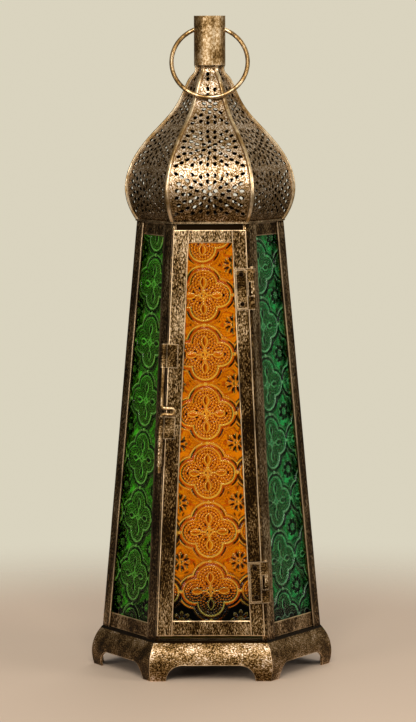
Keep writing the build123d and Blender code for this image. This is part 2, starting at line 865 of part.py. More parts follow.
for corner in range(SIDES):
    with BuildPart() as dome_rib:
        with BuildSketch(radial_plane(FRONT_TURN + (corner - 0.5) * SIDE_TURN)):
            with BuildLine():
                outside = beside_curve(rib_curve, rib_proud)
                inside = beside_curve(rib_curve, -rib_depth)
                Spline(*outside)
                Line(outside[-1], inside[-1])
                Spline(*inside)
                Line(inside[0], outside[0])
            make_face()
        extrude(amount=rib_width / 2, both=True)
        split(bisect_by=Plane.XY.offset(crown_top), keep=Keep.TOP)
        long_edges = dome_rib.edges().filter_by(GeomType.BSPLINE)
        crests = long_edges.filter_by(lambda edge: lower_radius(edge) > dome_stations[0][0])
        fillet(crests, radius=rib_round)
    save(dome_rib, f"dome_rib_{corner_names[corner]}")

# Finial tube with two cross holes for the ring
ring_hole_height = dome_top + tube_length - ring_hole_drop
with BuildPart() as finial_tube:
    with BuildSketch(Plane.XY.offset(dome_top)):
        Circle(tube_radius)
        Circle(tube_radius - tube_wall, mode=Mode.SUBTRACT)
    extrude(amount=tube_length)
    with BuildSketch(Plane.YZ):
        with Locations((0, ring_hole_height)):
            Circle(ring_hole_radius)
    extrude(amount=tube_radius + trim, both=True, mode=Mode.SUBTRACT)
save(finial_tube, "finial_tube")

# Carry ring: hangs from the holes and leans on the two front ribs
ring_chord = tube_radius - tube_wall / 2
ring_drop = sqrt(ring_radius**2 - ring_chord**2)
RAISED_LEAN = 60
LEAN_STEP = 0.2
RIB_REACH = 60
RIB_REACH_STEP = 2


def ring_point(turn, ring_lean):
    """Point on the ring's centre line, at an angle from its lowest point."""
    down = ring_drop + ring_radius * cos(turn)
    return Vector(
        ring_radius * sin(turn), -down * sin(ring_lean), ring_hole_height - down * cos(ring_lean)
    )


def ring_clearance(ring_lean):
    """Least gap between the ring's wire and the crest of a front rib, on either edge of the crest."""
    rib_turn = radians(FRONT_TURN + SIDE_TURN / 2)
    outward = Vector(cos(rib_turn), sin(rib_turn), 0)
    sideways = Vector(-sin(rib_turn), cos(rib_turn), 0) * (rib_width / 2 - rib_round)
    crest = [
        outward * radius + sideways * hand + Vector(0, 0, height)
        for radius, height in beside_curve(rib_curve, rib_proud)
        for hand in (-1, 0, 1)
    ]
    wire = [ring_point(radians(turn), ring_lean) for turn in range(0, RIB_REACH, RIB_REACH_STEP)]
    return min((a - b).length for a in crest for b in wire) - ring_wire / 2


ring_lean = radians(RAISED_LEAN)
while ring_clearance(ring_lean - radians(LEAN_STEP)) > seat_gap:
    ring_lean -= radians(LEAN_STEP)

joint_place = radians(ring_joint_place)
ring_plane = Plane(
    origin=(0, -ring_drop * sin(ring_lean), ring_hole_height - ring_drop * cos(ring_lean)),
    x_dir=(cos(joint_place), sin(ring_lean) * sin(joint_place), cos(ring_lean) * sin(joint_place)),
    z_dir=(0, -cos(ring_lean), sin(ring_lean)),
)
with BuildPart(ring_plane) as carry_ring:
    Torus(ring_radius, ring_wire / 2, major_angle=360 - ring_joint_turn)
save(carry_ring, "carry_ring")

print("holes per dome panel", len(hole_planes))
print("ring lean in degrees", round(degrees(ring_lean), 2))
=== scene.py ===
"""Looks of a hexagonal candle lantern: aged brass, pressed glass panes and a pierced onion dome.

Sizes are millimetres in the lantern's own frame, with the door towards -Y and the feet at height 0.
They become metres where a mesh, a lamp or the camera is made.
"""

import json
import math
from typing import NamedTuple

import bpy
import numpy as np
from mathutils import Matrix, Vector


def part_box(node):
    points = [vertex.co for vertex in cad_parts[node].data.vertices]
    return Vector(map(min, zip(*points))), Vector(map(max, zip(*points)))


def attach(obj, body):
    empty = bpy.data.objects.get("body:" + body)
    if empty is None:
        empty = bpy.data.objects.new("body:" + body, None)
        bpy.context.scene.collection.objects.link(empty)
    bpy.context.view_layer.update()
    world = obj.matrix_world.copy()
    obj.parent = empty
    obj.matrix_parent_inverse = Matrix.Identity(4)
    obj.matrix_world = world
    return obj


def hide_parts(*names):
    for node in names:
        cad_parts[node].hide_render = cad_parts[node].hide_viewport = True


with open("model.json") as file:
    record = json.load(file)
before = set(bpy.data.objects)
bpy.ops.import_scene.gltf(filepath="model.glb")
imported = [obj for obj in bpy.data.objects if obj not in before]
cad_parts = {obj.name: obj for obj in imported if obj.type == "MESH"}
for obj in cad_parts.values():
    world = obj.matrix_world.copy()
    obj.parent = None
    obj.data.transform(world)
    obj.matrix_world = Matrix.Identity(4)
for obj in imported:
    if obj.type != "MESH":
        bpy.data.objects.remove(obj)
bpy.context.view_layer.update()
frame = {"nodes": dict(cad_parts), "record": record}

MM = 0.001
SIDES = 6
SIDE_NAMES = ["front", "right_front", "right_back", "back", "left_back", "left_front"]
CORNER_NAMES = ["front_left", "front_right", "right", "back_right", "back_left", "left"]

# Body of the lantern, from the frame's own boxes
CROWN_LAP = 0.5
BASE_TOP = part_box("floor_plate")[0].z / MM
BODY_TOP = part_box("crown_ring")[0].z / MM
BOTTOM_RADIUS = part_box("corner_post_right")[1].x / MM
TOP_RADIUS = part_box("crown_ring")[1].x / MM - CROWN_LAP
FLAT = math.cos(math.pi / SIDES)
LEAN = math.atan2((BOTTOM_RADIUS - TOP_RADIUS) * FLAT, BODY_TOP - BASE_TOP)
SLOPE = math.hypot((BOTTOM_RADIUS - TOP_RADIUS) * FLAT, BODY_TOP - BASE_TOP)
EDGE_LEAN = math.atan2((BOTTOM_RADIUS - TOP_RADIUS) / 2, SLOPE)

# Sheet strips of the body and of the door, as built
SHEET = 0.8
ROLL = 0.34
ROLL_STEPS = 4
RUBBED_BAND = 0.22
POST_FLANGE = 6.2
FRONT_POST_FLANGE = 8.0
DOOR_RETURN = 2.0
RAIL_INSET = 2.6
RAIL_END_GAP = 0.15
BOTTOM_RAIL = 7.0
TOP_RAIL = 6.0
DOOR_GAP = 0.3
DOOR_SIDE_GAP = 0.7
DOOR_LOW = 2.2
DOOR_HIGH = SLOPE - 2.8
LEFT_STILE = 7.1
RIGHT_STILE = 6.5
DOOR_RAIL_INSET = 2.4
DOOR_BOTTOM_RAIL = 7.0
DOOR_TOP_RAIL = 5.9

# Pressed glass
GLASS = 2.5
GLASS_LAP = 3.2
GLASS_END_GAP = 2.2
RELIEF = 0.75
RELIEF_SINK = 0.03
PRESS_STEP = 0.28
PITCH = 26.75

# Camera and picture
PICTURE_HEIGHT = 722
FOCAL_PIXELS = 3598.0
SENSOR = 36.0
CAMERA_PLACE = (13.5, -1655.0, 293.0)
CAMERA_YAW = -0.51
CAMERA_PITCH = 5.24
CAMERA_ROLL = -0.19
CLIP_START = 50.0


def make_camera():
    """Camera at the photograph's place: yaw about the vertical, then pitch down, then roll."""
    yaw, pitch, roll = (math.radians(a) for a in (CAMERA_YAW, CAMERA_PITCH, CAMERA_ROLL))
    ahead = Vector((math.sin(yaw) * math.cos(pitch), math.cos(yaw) * math.cos(pitch), -math.sin(pitch)))
    level = ahead.cross(Vector((0, 0, 1))).normalized()
    above = level.cross(ahead)
    right = level * math.cos(roll) + above * math.sin(roll)
    up = above * math.cos(roll) - level * math.sin(roll)
    data = bpy.data.cameras.new("camera")
    data.sensor_width = SENSOR
    data.lens = FOCAL_PIXELS * SENSOR / PICTURE_HEIGHT
    data.clip_start = CLIP_START * MM
    camera = bpy.data.objects.new("camera", data)
    camera.matrix_world = Matrix.Translation(Vector(CAMERA_PLACE) * MM) @ Matrix(
        (right, up, -ahead)
    ).transposed().to_4x4()
    bpy.context.scene.collection.objects.link(camera)
    bpy.context.scene.camera = camera


make_camera()


# Places on the body

def side_frame(side):
    """Foot of a leaning side, and its unit directions to the right, up the slope and outward."""
    turn = math.radians(270 + side * 360 / SIDES)
    flat_out = np.array([math.cos(turn), math.sin(turn), 0.0])
    right = np.array([-math.sin(turn), math.cos(turn), 0.0])
    upright = np.array([0.0, 0.0, 1.0])
    out = flat_out * math.cos(LEAN) + upright * math.sin(LEAN)
    up = upright * math.cos(LEAN) - flat_out * math.sin(LEAN)
    return flat_out * BOTTOM_RADIUS * FLAT + upright * BASE_TOP, right, up, out


def on_side(side, across, up_slope, proud):
    """Points of a side: foot + across * right + up_slope * up + proud * outward, on whole arrays."""
    foot, right, up, out = side_frame(side)
    across, up_slope, proud = np.broadcast_arrays(across, up_slope, proud)
    return foot + across[..., None] * right + up_slope[..., None] * up + proud[..., None] * out


def edge_line(hand, inset):
    """Distance across a side of the line inset square from its left (-1) or right (+1) edge, by height."""
    def line(up_slope):
        half = (BOTTOM_RADIUS + (TOP_RADIUS - BOTTOM_RADIUS) * up_slope / SLOPE) / 2
        return hand * (half - inset / math.cos(EDGE_LEAN))
    return line


def corner_at(corner, height):
    """Points on a slanted corner of the body at the given heights."""
    turn = math.radians(270 + (corner - 0.5) * 360 / SIDES)
    radius = BOTTOM_RADIUS + (TOP_RADIUS - BOTTOM_RADIUS) * (height - BASE_TOP) / (BODY_TOP - BASE_TOP)
    return np.stack([radius * math.cos(turn), radius * math.sin(turn), height], axis=-1)


# Meshes

def ring_quads(rows, around):
    """Quads of a tube of rows, each a closed ring of points."""
    row = np.arange(rows - 1)[:, None] * around
    this = np.arange(around)[None, :]
    after = (this + 1) % around
    return np.stack([row + this, row + after, row + around + after, row + around + this], axis=-1).reshape(-1, 4)


def grid_quads(rows, columns):
    """Quads of an open grid of rows and columns."""
    row = np.arange(rows - 1)[:, None] * columns
    column = np.arange(columns - 1)[None, :]
    low = row + column
    return np.stack([low, low + 1, low + columns + 1, low + columns], axis=-1).reshape(-1, 4)


def enclosed(points, faces):
    """Six times the volume that closed faces enclose, each face as a fan; negative if they point inwards."""
    total = 0.0
    for face in faces:
        face = np.atleast_2d(face)
        first = points[face[:, 0]]
        for corner in range(1, face.shape[1] - 1):
            second, third = points[face[:, corner]], points[face[:, corner + 1]]
            total += np.einsum("ij,ij->", first, np.cross(second, third))
    return total


def make_piece(name, points, faces, material, attributes):
    """A mesh object at the origin from points in millimetres and arrays of faces, turned to point outwards.

    The first array is shaded smooth, and the others, which close it, flat.
    """
    points = points.reshape(-1, 3)
    if enclosed(points - points.mean(0), faces) < 0:
        faces = [np.atleast_2d(face)[:, ::-1] for face in faces]
    polygons = [polygon for face in faces for polygon in np.atleast_2d(face).tolist()]
    smooth = np.arange(len(polygons)) < len(faces[0])
    mesh = bpy.data.meshes.new(name)
    mesh.from_pydata((points * MM).tolist(), [], polygons)
    mesh.polygons.foreach_set("use_smooth", smooth)
    for key, values in attributes.items():
        mesh.attributes.new(key, "FLOAT", "POINT").data.foreach_set("value", np.ravel(values).astype(np.float32))
    mesh.materials.append(material)
    piece = bpy.data.objects.new(name, mesh)
    bpy.context.scene.collection.objects.link(piece)
    return piece


def stands_for(piece, node):
    """The piece rides on its CAD node's body and hides the node."""
    body = next(b for b, nodes in frame["record"]["behaviour"]["bodies"].items() if node in nodes)
    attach(piece, body)
    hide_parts(node)


def tube_of(rings):
    """Faces of rows of closed rings with both ends capped."""
    rows, around = rings.shape[:2]
    last = (rows - 1) * around
    return [ring_quads(rows, around), np.arange(around)[::-1], np.arange(last, last + around)]


def close_steps(length, roll, inner):
    """Distances along a length, close together in a rolled stretch and a rubbed one at each end, even between."""
    curl = roll * (1 - np.cos(np.linspace(0, math.pi / 2, ROLL_STEPS)))
    even = np.linspace(roll + RUBBED_BAND, length - roll - RUBBED_BAND, inner + 2)
    return np.concatenate([curl, even, length - curl[::-1]])


def roll_drop(distance, roll):
    """How far a rounded edge falls at a distance from the edge: a quarter circle of the roll's radius."""
    near = 1 - np.clip(distance / roll, 0, 1)
    return roll * (1 - np.sqrt(1 - near ** 2))


# Waves of hand-cut sheet: height, length along, length across and shift by the seed
WAVES = [(1.0, 17.0, math.inf, 1.7), (0.6, 7.3, 5.0, 4.1), (0.5, 3.9, -3.0, 2.3)]


def hand_waver(along, across, seed):
    """A small unevenness of hand-cut sheet, -1 to 1: slow sine waves with places set by the seed."""
    waves = [
        height * np.sin(along / length + across / breadth + seed * shift) for height, length, breadth, shift in WAVES
    ]
    return sum(waves) / sum(wave[0] for wave in WAVES)


# Finishes

def new_finish(name):
    """A material, its node tree, its shader and the object coordinates."""
    material = bpy.data.materials.new(name)
    material.use_nodes = True
    tree = material.node_tree
    place = tree.nodes.new("ShaderNodeTexCoord").outputs["Object"]
    return material, tree, tree.nodes["Principled BSDF"], place


def plug(tree, value, socket):
    """Link an output to a socket, or set a plain value on it."""
    if isinstance(value, bpy.types.NodeSocket):
        tree.links.new(value, socket)
    else:
        socket.default_value = value


def grain(tree, place, size, detail, rough, stretch=(1, 1, 1)):
    """Noise whose grains are about so many millimetres across, drawn out by the stretch."""
    mapping = tree.nodes.new("ShaderNodeMapping")
    mapping.inputs["Scale"].default_value = [1 / s for s in stretch]
    tree.links.new(place, mapping.inputs["Vector"])
    noise = tree.nodes.new("ShaderNodeTexNoise")
    noise.inputs["Scale"].default_value = 1 / (size * MM)
    noise.inputs["Detail"].default_value = detail
    noise.inputs["Roughness"].default_value = rough
    tree.links.new(mapping.outputs["Vector"], noise.inputs["Vector"])
    return noise.outputs["Fac"]


def maths(tree, operation, first, second, clamp=False):
    """One arithmetic node."""
    node = tree.nodes.new("ShaderNodeMath")
    node.operation = operation
    node.use_clamp = clamp
    plug(tree, first, node.inputs[0])
    plug(tree, second, node.inputs[1])
    return node.outputs["Value"]


def step_between(tree, value, low, high, out_low=0.0, out_high=1.0):
    """A smooth step of a value from one level to another."""
    node = tree.nodes.new("ShaderNodeMapRange")
    node.interpolation_type = "SMOOTHSTEP"
    plug(tree, value, node.inputs["Value"])
    for key, level in (("From Min", low), ("From Max", high), ("To Min", out_low), ("To Max", out_high)):
        node.inputs[key].default_value = level
    return node.outputs["Result"]


def blend_colours(tree, share, first, second):
    """Colour that goes from the first to the second by a share."""
    node = tree.nodes.new("ShaderNodeMix")
    node.data_type = "RGBA"
    plug(tree, share, node.inputs["Factor"])
    sockets = [socket for socket in node.inputs if socket.type == "RGBA"]
    for colour, socket in zip((first, second), sockets):
        plug(tree, colour if isinstance(colour, bpy.types.NodeSocket) else (*colour, 1.0), socket)
    return next(socket for socket in node.outputs if socket.type == "RGBA")


def tone_scale(tree, value, tones):
    """Colour ramp through (place, colour) tones."""
    node = tree.nodes.new("ShaderNodeValToRGB")
    elements = node.color_ramp.elements
    while len(elements) < len(tones):
        elements.new(1.0)
    for element, (place, colour) in zip(elements, tones):
        element.position = place
        element.color = (*colour, 1.0)
    tree.links.new(value, node.inputs["Fac"])
    return node.outputs["Color"]


def piece_value(tree, key):
    """A value carried by the mesh's own points."""
    node = tree.nodes.new("ShaderNodeAttribute")
    node.attribute_name = key
    return node.outputs["Fac"]


# Brass from its darkest patina to bright metal, and the tones at which each colour is reached
PATINA = (0.009, 0.0045, 0.0015)
BROWN = (0.098, 0.049, 0.012)
BRASS = (0.38, 0.230, 0.090)
RUBBED = (0.86, 0.68, 0.46)
PALE = (0.83, 0.75, 0.68)
WORN_EDGE = (0.95, 0.68, 0.41)
TONES = (0.08, 0.36, 0.64, 1.0)
MIDDLE_TONE = 0.545

# Levels of the noise, or of how far a face looks along a direction, between which each effect sets in
FLECK_LEVELS = (0.34, 0.68)
CLOUD_LEVELS = (0.0, 1.0)
PATCHY_LEVELS = (0.3, 0.6)
WORN_LEVELS = (0.985, 0.86)
UNDERSIDE_SHADE_LEVELS = (-0.1, 0.35)
SOOT_AND_INNER_SHADE_LEVELS = (0.05, -0.05)
SIDE_SHADE_LEVELS = (0.75, 0.95)
SHINE_LEVELS = (0.0, 0.9)

# Size of the clouds, how far painted shade darkens a side and a ledge, the least share of wear, and the surface
CLOUD = 6.5
SIDE_SHADE = 0.2
LEDGE_SHADE = 1.2
LEAST_WEAR = 0.3
EDGE_SAMPLES = 6
DULL = 0.60
BUMP_STRENGTH = 0.35
BUMP_DEPTH = 0.1


def worn_edges(tree, radius):
    """Share of wear at sharp edges: how far the normal rounded over a radius leaves the surface's own."""
    rounded = tree.nodes.new("ShaderNodeBevel")
    rounded.samples = EDGE_SAMPLES
    rounded.inputs["Radius"].default_value = radius * MM
    geometry = tree.nodes.new("ShaderNodeNewGeometry")
    dot = tree.nodes.new("ShaderNodeVectorMath")
    dot.operation = "DOT_PRODUCT"
    tree.links.new(rounded.outputs["Normal"], dot.inputs[0])
    tree.links.new(geometry.outputs["Normal"], dot.inputs[1])
    return step_between(tree, dot.outputs["Value"], *WORN_LEVELS)


def facing(tree, outward):
    """How far the surface looks along a direction, or away from the lantern's axis where none is given."""
    geometry = tree.nodes.new("ShaderNodeNewGeometry")
    dot = tree.nodes.new("ShaderNodeVectorMath")
    dot.operation = "DOT_PRODUCT"
    tree.links.new(geometry.outputs["Normal"], dot.inputs[0])
    if outward:
        dot.inputs[1].default_value = outward
    else:
        level = tree.nodes.new("ShaderNodeVectorMath")
        level.operation = "MULTIPLY"
        level.inputs[1].default_value = (1, 1, 0)
        tree.links.new(geometry.outputs["Position"], level.inputs[0])
        unit = tree.nodes.new("ShaderNodeVectorMath")
        unit.operation = "NORMALIZE"
        tree.links.new(level.outputs["Vector"], unit.inputs[0])
        tree.links.new(unit.outputs["Vector"], dot.inputs[1])
    return dot.outputs["Value"]


def aged_brass(
    name, speck, patina, stretch=(1, 1, 1), fleck=1.1, clouds=0.55, edge=None, edge_wear=1.0,
    underside_shade=0.0, soot_and_inner_shade=0.0, shaded_side=None, ledge_shade_heights=None, bright=RUBBED, polish=0.32,
):
    """Brass with a flecked brown patina, rubbed bright along worn edges.

    tone = flecks of fine noise, 'speck' across and 'fleck' strong, + broad 'clouds' of noise - patina. It is lower
    by a painted shade, 'under', where the face looks down; by darkening from candle smoke and a painted shade,
    'soot', where it looks at the axis; by a painted shade where it looks along 'tarnished'; and by a painted shade,
    without wear, where it lies above the heights 'grime'. The tone picks a colour, from dark patina through brown
    and brass to 'bright' metal, and a roughness, from dull to 'polish'. Edges are worn by 'edge_wear' over the
    radius 'edge', or by what the mesh carries where no radius is given.
    """
    material, tree, shader, place = new_finish(name)
    fine = grain(tree, place, speck, detail=4.0, rough=0.75, stretch=stretch)
    broad = grain(tree, place, CLOUD, detail=3.0, rough=0.55, stretch=stretch)
    tone = step_between(tree, fine, *FLECK_LEVELS, -fleck / 2, fleck / 2)
    tone = maths(tree, "ADD", tone, step_between(tree, broad, *CLOUD_LEVELS, -clouds, clouds))
    tone = maths(tree, "ADD", tone, MIDDLE_TONE - patina)
    wear = worn_edges(tree, edge) if edge else piece_value(tree, "wear")
    wear = maths(tree, "MULTIPLY", wear, step_between(tree, broad, *PATCHY_LEVELS, LEAST_WEAR * edge_wear, edge_wear))
    darker = [piece_value(tree, "patina")]
    # painted shade where the face looks down
    if underside_shade:
        darker.append(step_between(tree, facing(tree, (0, 0, -1)), *UNDERSIDE_SHADE_LEVELS, 0.0, underside_shade))
    # darkening from candle smoke, and painted shade, where the face looks at the axis, inside the dome
    if soot_and_inner_shade:
        darker.append(step_between(tree, facing(tree, None), *SOOT_AND_INNER_SHADE_LEVELS, 0.0, soot_and_inner_shade))
    # painted shade on a side that looks along the given direction
    if shaded_side:
        darker.append(step_between(tree, facing(tree, shaded_side), *SIDE_SHADE_LEVELS, 0.0, SIDE_SHADE))
    # painted shade, with no wear, on what lies above these heights
    if ledge_shade_heights:
        split = tree.nodes.new("ShaderNodeSeparateXYZ")
        tree.links.new(place, split.inputs["Vector"])
        heights = [height * MM for height in ledge_shade_heights]
        darker.append(step_between(tree, split.outputs["Z"], *heights, 0.0, LEDGE_SHADE))
        wear = maths(tree, "MULTIPLY", wear, step_between(tree, split.outputs["Z"], *heights, 1.0, 0.0))
    for amount in darker:
        tone = maths(tree, "SUBTRACT", tone, amount)
    colour = tone_scale(tree, tone, list(zip(TONES, (PATINA, BROWN, BRASS, bright))))
    plug(tree, blend_colours(tree, wear, colour, WORN_EDGE), shader.inputs["Base Color"])
    shader.inputs["Metallic"].default_value = 1.0
    shine = maths(tree, "MAXIMUM", tone, wear)
    plug(tree, step_between(tree, shine, *SHINE_LEVELS, DULL, polish), shader.inputs["Roughness"])
    bump = tree.nodes.new("ShaderNodeBump")
    bump.inputs["Strength"].default_value = BUMP_STRENGTH
    bump.inputs["Distance"].default_value = BUMP_DEPTH * MM
    tree.links.new(fine, bump.inputs["Height"])
    tree.links.new(bump.outputs["Normal"], shader.inputs["Normal"])
    return material


# Glass: size and depth of its streaks, size and roughness of its ripples
GLASS_STREAK = 9.0
STREAK_LEVELS = (0.35, 0.75)
STREAK_DIM = 0.86
GLASS_RIPPLE = 1.2
RIPPLE_LEVELS = (0.3, 0.8)
GLASS_ROUGHNESS = (0.07, 0.14)
GLASS_IOR = 1.2


def pressed_glass(name, tint, crest_tint, middle, deep, milk, lines):
    """Clear coloured glass with faint streaks, with a paler painted highlight and milkier on the pressing's crests.

    Its painted shades go from the tint through a middle tone, at half shade, to a deep one. 'lines' is the
    strength of the crests, and 'milk' how far they cloud.
    """
    material, tree, shader, place = new_finish(name)
    crest = maths(tree, "MULTIPLY", piece_value(tree, "crest"), lines, clamp=True)
    shade = piece_value(tree, "shade")
    streak = grain(tree, place, GLASS_STREAK, detail=2.0, rough=0.5, stretch=(1, 1, 3))
    toned = blend_colours(tree, step_between(tree, streak, *STREAK_LEVELS), tint, [c * STREAK_DIM for c in tint])
    toned = blend_colours(tree, step_between(tree, shade, 0.0, 0.5), toned, middle)
    toned = blend_colours(tree, step_between(tree, shade, 0.5, 1.0), toned, deep)
    plug(tree, blend_colours(tree, crest, toned, crest_tint), shader.inputs["Base Color"])
    plug(tree, step_between(tree, crest, 0.0, 1.0, 1.0, 1 - milk), shader.inputs["Transmission Weight"])
    ripple = grain(tree, place, GLASS_RIPPLE, detail=2.0, rough=0.5)
    plug(tree, step_between(tree, ripple, *RIPPLE_LEVELS, *GLASS_ROUGHNESS), shader.inputs["Roughness"])
    shader.inputs["IOR"].default_value = GLASS_IOR
    return material


# Heights between which painted shade sets in on the skirt's top, and the way its painted-dark left front side looks
SKIRT_LEDGE_SHADE = (16.9, 17.3)
LEFT_FRONT = (-math.sin(2 * math.pi / SIDES), -math.cos(2 * math.pi / SIDES), 0)

strip_brass = aged_brass("aged_brass_strip", speck=0.4, patina=0.17, stretch=(1, 1, 3.2), fleck=1.25)
sheet_brass = aged_brass("aged_brass_sheet", speck=0.65, patina=0.06, edge=0.6)
# The base skirt: painted shade on its left front side and on its top ledge
base_brass = aged_brass(
    "aged_brass_base", speck=0.5, patina=0.10, stretch=(1.5, 1, 1), fleck=0.8, clouds=0.4, edge=0.6,
    shaded_side=LEFT_FRONT, ledge_shade_heights=SKIRT_LEDGE_SHADE, bright=PALE, polish=0.46,
)
plate_brass = aged_brass("aged_brass_plate", speck=0.6, patina=0.30, fleck=0.9, edge=0.75)
# The dome: painted shade where it looks down below its bulge, and candle smoke with painted shade on its inside
pierced_brass = aged_brass(
    "pierced_brass", speck=0.65, patina=-0.07, fleck=0.85, clouds=0.2, underside_shade=0.22, soot_and_inner_shade=1.0, bright=PALE, polish=0.42,
)
rib_brass = aged_brass(
    "rib_brass", speck=0.8, patina=-0.22, stretch=(1, 1, 3), fleck=0.25, edge=0.4, edge_wear=0.5,
)
tube_brass = aged_brass(
    "tube_brass", speck=0.9, patina=-0.14, stretch=(1, 1, 1.5), fleck=0.5, clouds=0.45, edge=0.4, edge_wear=0.5,
    polish=0.5,
)
rubbed_brass = aged_brass(
    "rubbed_brass", speck=0.8, patina=-0.08, stretch=(1, 1, 2), fleck=0.3, edge=0.4, edge_wear=0.7,
)
dark_brass = aged_brass("dark_brass", speck=0.9, patina=0.9, fleck=0.4, edge=0.5, edge_wear=0.3)
amber_glass = pressed_glass(
    "amber_glass", tint=(1.0, 0.52, 0.025), crest_tint=(1.0, 0.82, 0.15), middle=(0.50, 0.09, 0.005),
    deep=(0.0012, 0.0003, 0.0001), milk=0.18, lines=1.6,
)
green_glass = pressed_glass(
    "green_glass", tint=(0.23, 0.70, 0.12), crest_tint=(0.42, 0.77, 0.23), middle=(0.07, 0.06, 0.016),
    deep=(0.0006, 0.0012, 0.0003), milk=0.2, lines=1.15,
)
teal_glass = pressed_glass(
    "teal_glass", tint=(0.15, 0.66, 0.33), crest_tint=(0.42, 0.72, 0.42), middle=(0.12, 0.10, 0.055),
    deep=(0.0004, 0.0012, 0.0008), milk=0.2, lines=1.3,
)


# Sheet strips

STRIP_ROW = 3.0
STRIP_COLUMN = 1.6
LEAST_ROWS = 4
BACK_SHARES = (1.0, 0.5, 0.0)
BACK_PATINA = 0.4
STRIP_SINK = 0.06
FACE_WAVER = 0.05
EDGE_WAVER = 0.06
EDGE_SEED = 5
RAIL_SEED = 2.1
DOOR_SEED = 3.3
EDGE_RUB = 1.5


def patina_along(heights, stops):
    """Patina by height along a strip, read off between (height, patina) stops."""
    return np.interp(heights, [height for height, patina in stops], [patina for height, patina in stops])


def sheet_strip(name, side, left, right, low, high, front, seed, stops):
    """A flat strip with rolled edges: a closed section of front and back, carried up the slope.

    Across, the front falls by a quarter circle at each edge; along, it falls the same way at both ends. The
    rolled edges are rubbed, and the patina follows its (height, patina) stops.
    """
    length = high - low
    rows = close_steps(length, ROLL, max(LEAST_ROWS, round(length / STRIP_ROW)))
    up_slope = low + rows
    width = float(np.mean(right(up_slope) - left(up_slope)))
    steps = close_steps(width, ROLL, round(width / STRIP_COLUMN))
    from_end = np.minimum(rows, length - rows)[:, None]
    from_edge = np.minimum(steps, width - steps)[None, :]
    drop = np.minimum(np.hypot(roll_drop(from_end, ROLL), roll_drop(from_edge, ROLL)), ROLL)
    waver = FACE_WAVER * hand_waver(rows[:, None], steps[None, :], seed)
    face = front - drop - STRIP_SINK + waver * (1 - drop / ROLL)
    back = np.full((len(rows), len(BACK_SHARES)), front - SHEET)
    edge_waver = EDGE_WAVER * hand_waver(rows, 0.0, seed + EDGE_SEED)[:, None]
    leftmost, rightmost = left(up_slope)[:, None] + edge_waver, right(up_slope)[:, None] + edge_waver
    across = leftmost + (rightmost - leftmost) * np.concatenate([steps / width, BACK_SHARES])[None, :]
    points = on_side(side, across, up_slope[:, None], np.concatenate([face, back], axis=1))
    rubbed = np.clip(EDGE_RUB * (1 - np.minimum(from_edge, from_end) / (ROLL + RUBBED_BAND)), 0, 1)
    wear = np.concatenate([rubbed, np.zeros_like(back)], axis=1)
    patina = np.repeat(patina_along(up_slope, stops)[:, None], points.shape[1], axis=1)
    patina[:, len(steps):] += BACK_PATINA
    return make_piece(name, points, tube_of(points), strip_brass, {"wear": wear, "patina": patina})


POST_ROWS = 64
POST_SINK = 0.05
POST_WAVER = 0.04
FOLD = 0.8
FOLD_STEPS = 7

# Wear and patina round a post's section: rolled tips, flanges of three steps, and each corner's fold
TIP_WEAR = [0.4, 0.6, 0.5, 0.15]
TIP_PATINA = [0.1] * ROLL_STEPS
FLANGE_STEPS = 3
FLANGE_PATINA = [0.06, 0.0, -0.06]
FOLD_WEAR = [0.1, 0.0, 0.4, 0.4, 0.4, 0.4]
FOLD_PATINA = [0.2, 0.45, 0.0, 0.0, 0.0, 0.0]


def folded_post(name, corner, left_flange, right_flange, seed, patina):
    """A strip folded along a slanted corner: a closed V section with a rounded fold, carried up the corner.

    The section runs from the left flange's rolled tip round the fold to the right one's, and back inside.
    """
    left_out, right_out = side_frame((corner - 1) % SIDES)[3], side_frame(corner)[3]
    heights = np.linspace(BASE_TOP, BODY_TOP, POST_ROWS)
    corner_line = corner_at(corner, heights)
    along = (corner_line[-1] - corner_line[0]) / np.linalg.norm(corner_line[-1] - corner_line[0])
    to_left, to_right = -np.cross(along, left_out), np.cross(along, right_out)
    turn = math.acos(float(left_out @ right_out))
    tangent = FOLD * math.tan(turn / 2)
    bisector = (left_out + right_out) / (1 + math.cos(turn))
    shares = np.linspace(0, 1, FOLD_STEPS)[:, None]
    swing = (np.sin((1 - shares) * turn) * left_out + np.sin(shares * turn) * right_out) / math.sin(turn)
    curl = np.linspace(0, math.pi / 2, ROLL_STEPS)[:, None]
    short, drop = ROLL * (1 - np.sin(curl)), ROLL * (1 - np.cos(curl))
    left_tip = ((left_flange - short) * to_left - drop * left_out)[::-1]
    right_tip = (right_flange - short) * to_right - drop * right_out
    left_steps = np.linspace(left_flange - ROLL, tangent, FLANGE_STEPS + 2)[1:-1, None]
    right_steps = np.linspace(tangent, right_flange - ROLL, FLANGE_STEPS + 2)[1:-1, None]
    inside = [
        right_flange * to_right - SHEET * right_out,
        -SHEET * bisector,
        left_flange * to_left - SHEET * left_out,
    ]
    fold = FOLD * (swing - bisector)
    section = np.concatenate([left_tip, left_steps * to_left, fold, right_steps * to_right, right_tip, inside])
    level = section - along * (section[:, 2:] / along[2])
    inward = -(left_out + right_out) / 2
    sink = POST_SINK + POST_WAVER * hand_waver(heights, 0.0, seed)
    points = corner_line[:, None, :] + level[None, :, :] + sink[:, None, None] * inward

    flange_wear, inside_wear = np.zeros(FLANGE_STEPS), np.zeros(len(inside))
    fold_wear = FOLD_WEAR[corner] * np.sin(np.linspace(0, math.pi, FOLD_STEPS))
    wear = np.concatenate([TIP_WEAR, flange_wear, fold_wear, flange_wear, TIP_WEAR[::-1], inside_wear])
    fold_patina, inside_patina = np.full(FOLD_STEPS, FOLD_PATINA[corner]), np.full(len(inside), BACK_PATINA)
    dull = patina + np.concatenate(
        [TIP_PATINA, FLANGE_PATINA, fold_patina, FLANGE_PATINA[::-1], TIP_PATINA, inside_patina]
    )
    attributes = {"wear": np.tile(wear, (len(heights), 1)), "patina": np.tile(dull, (len(heights), 1))}
    return make_piece(name, points, tube_of(points), strip_brass, attributes)


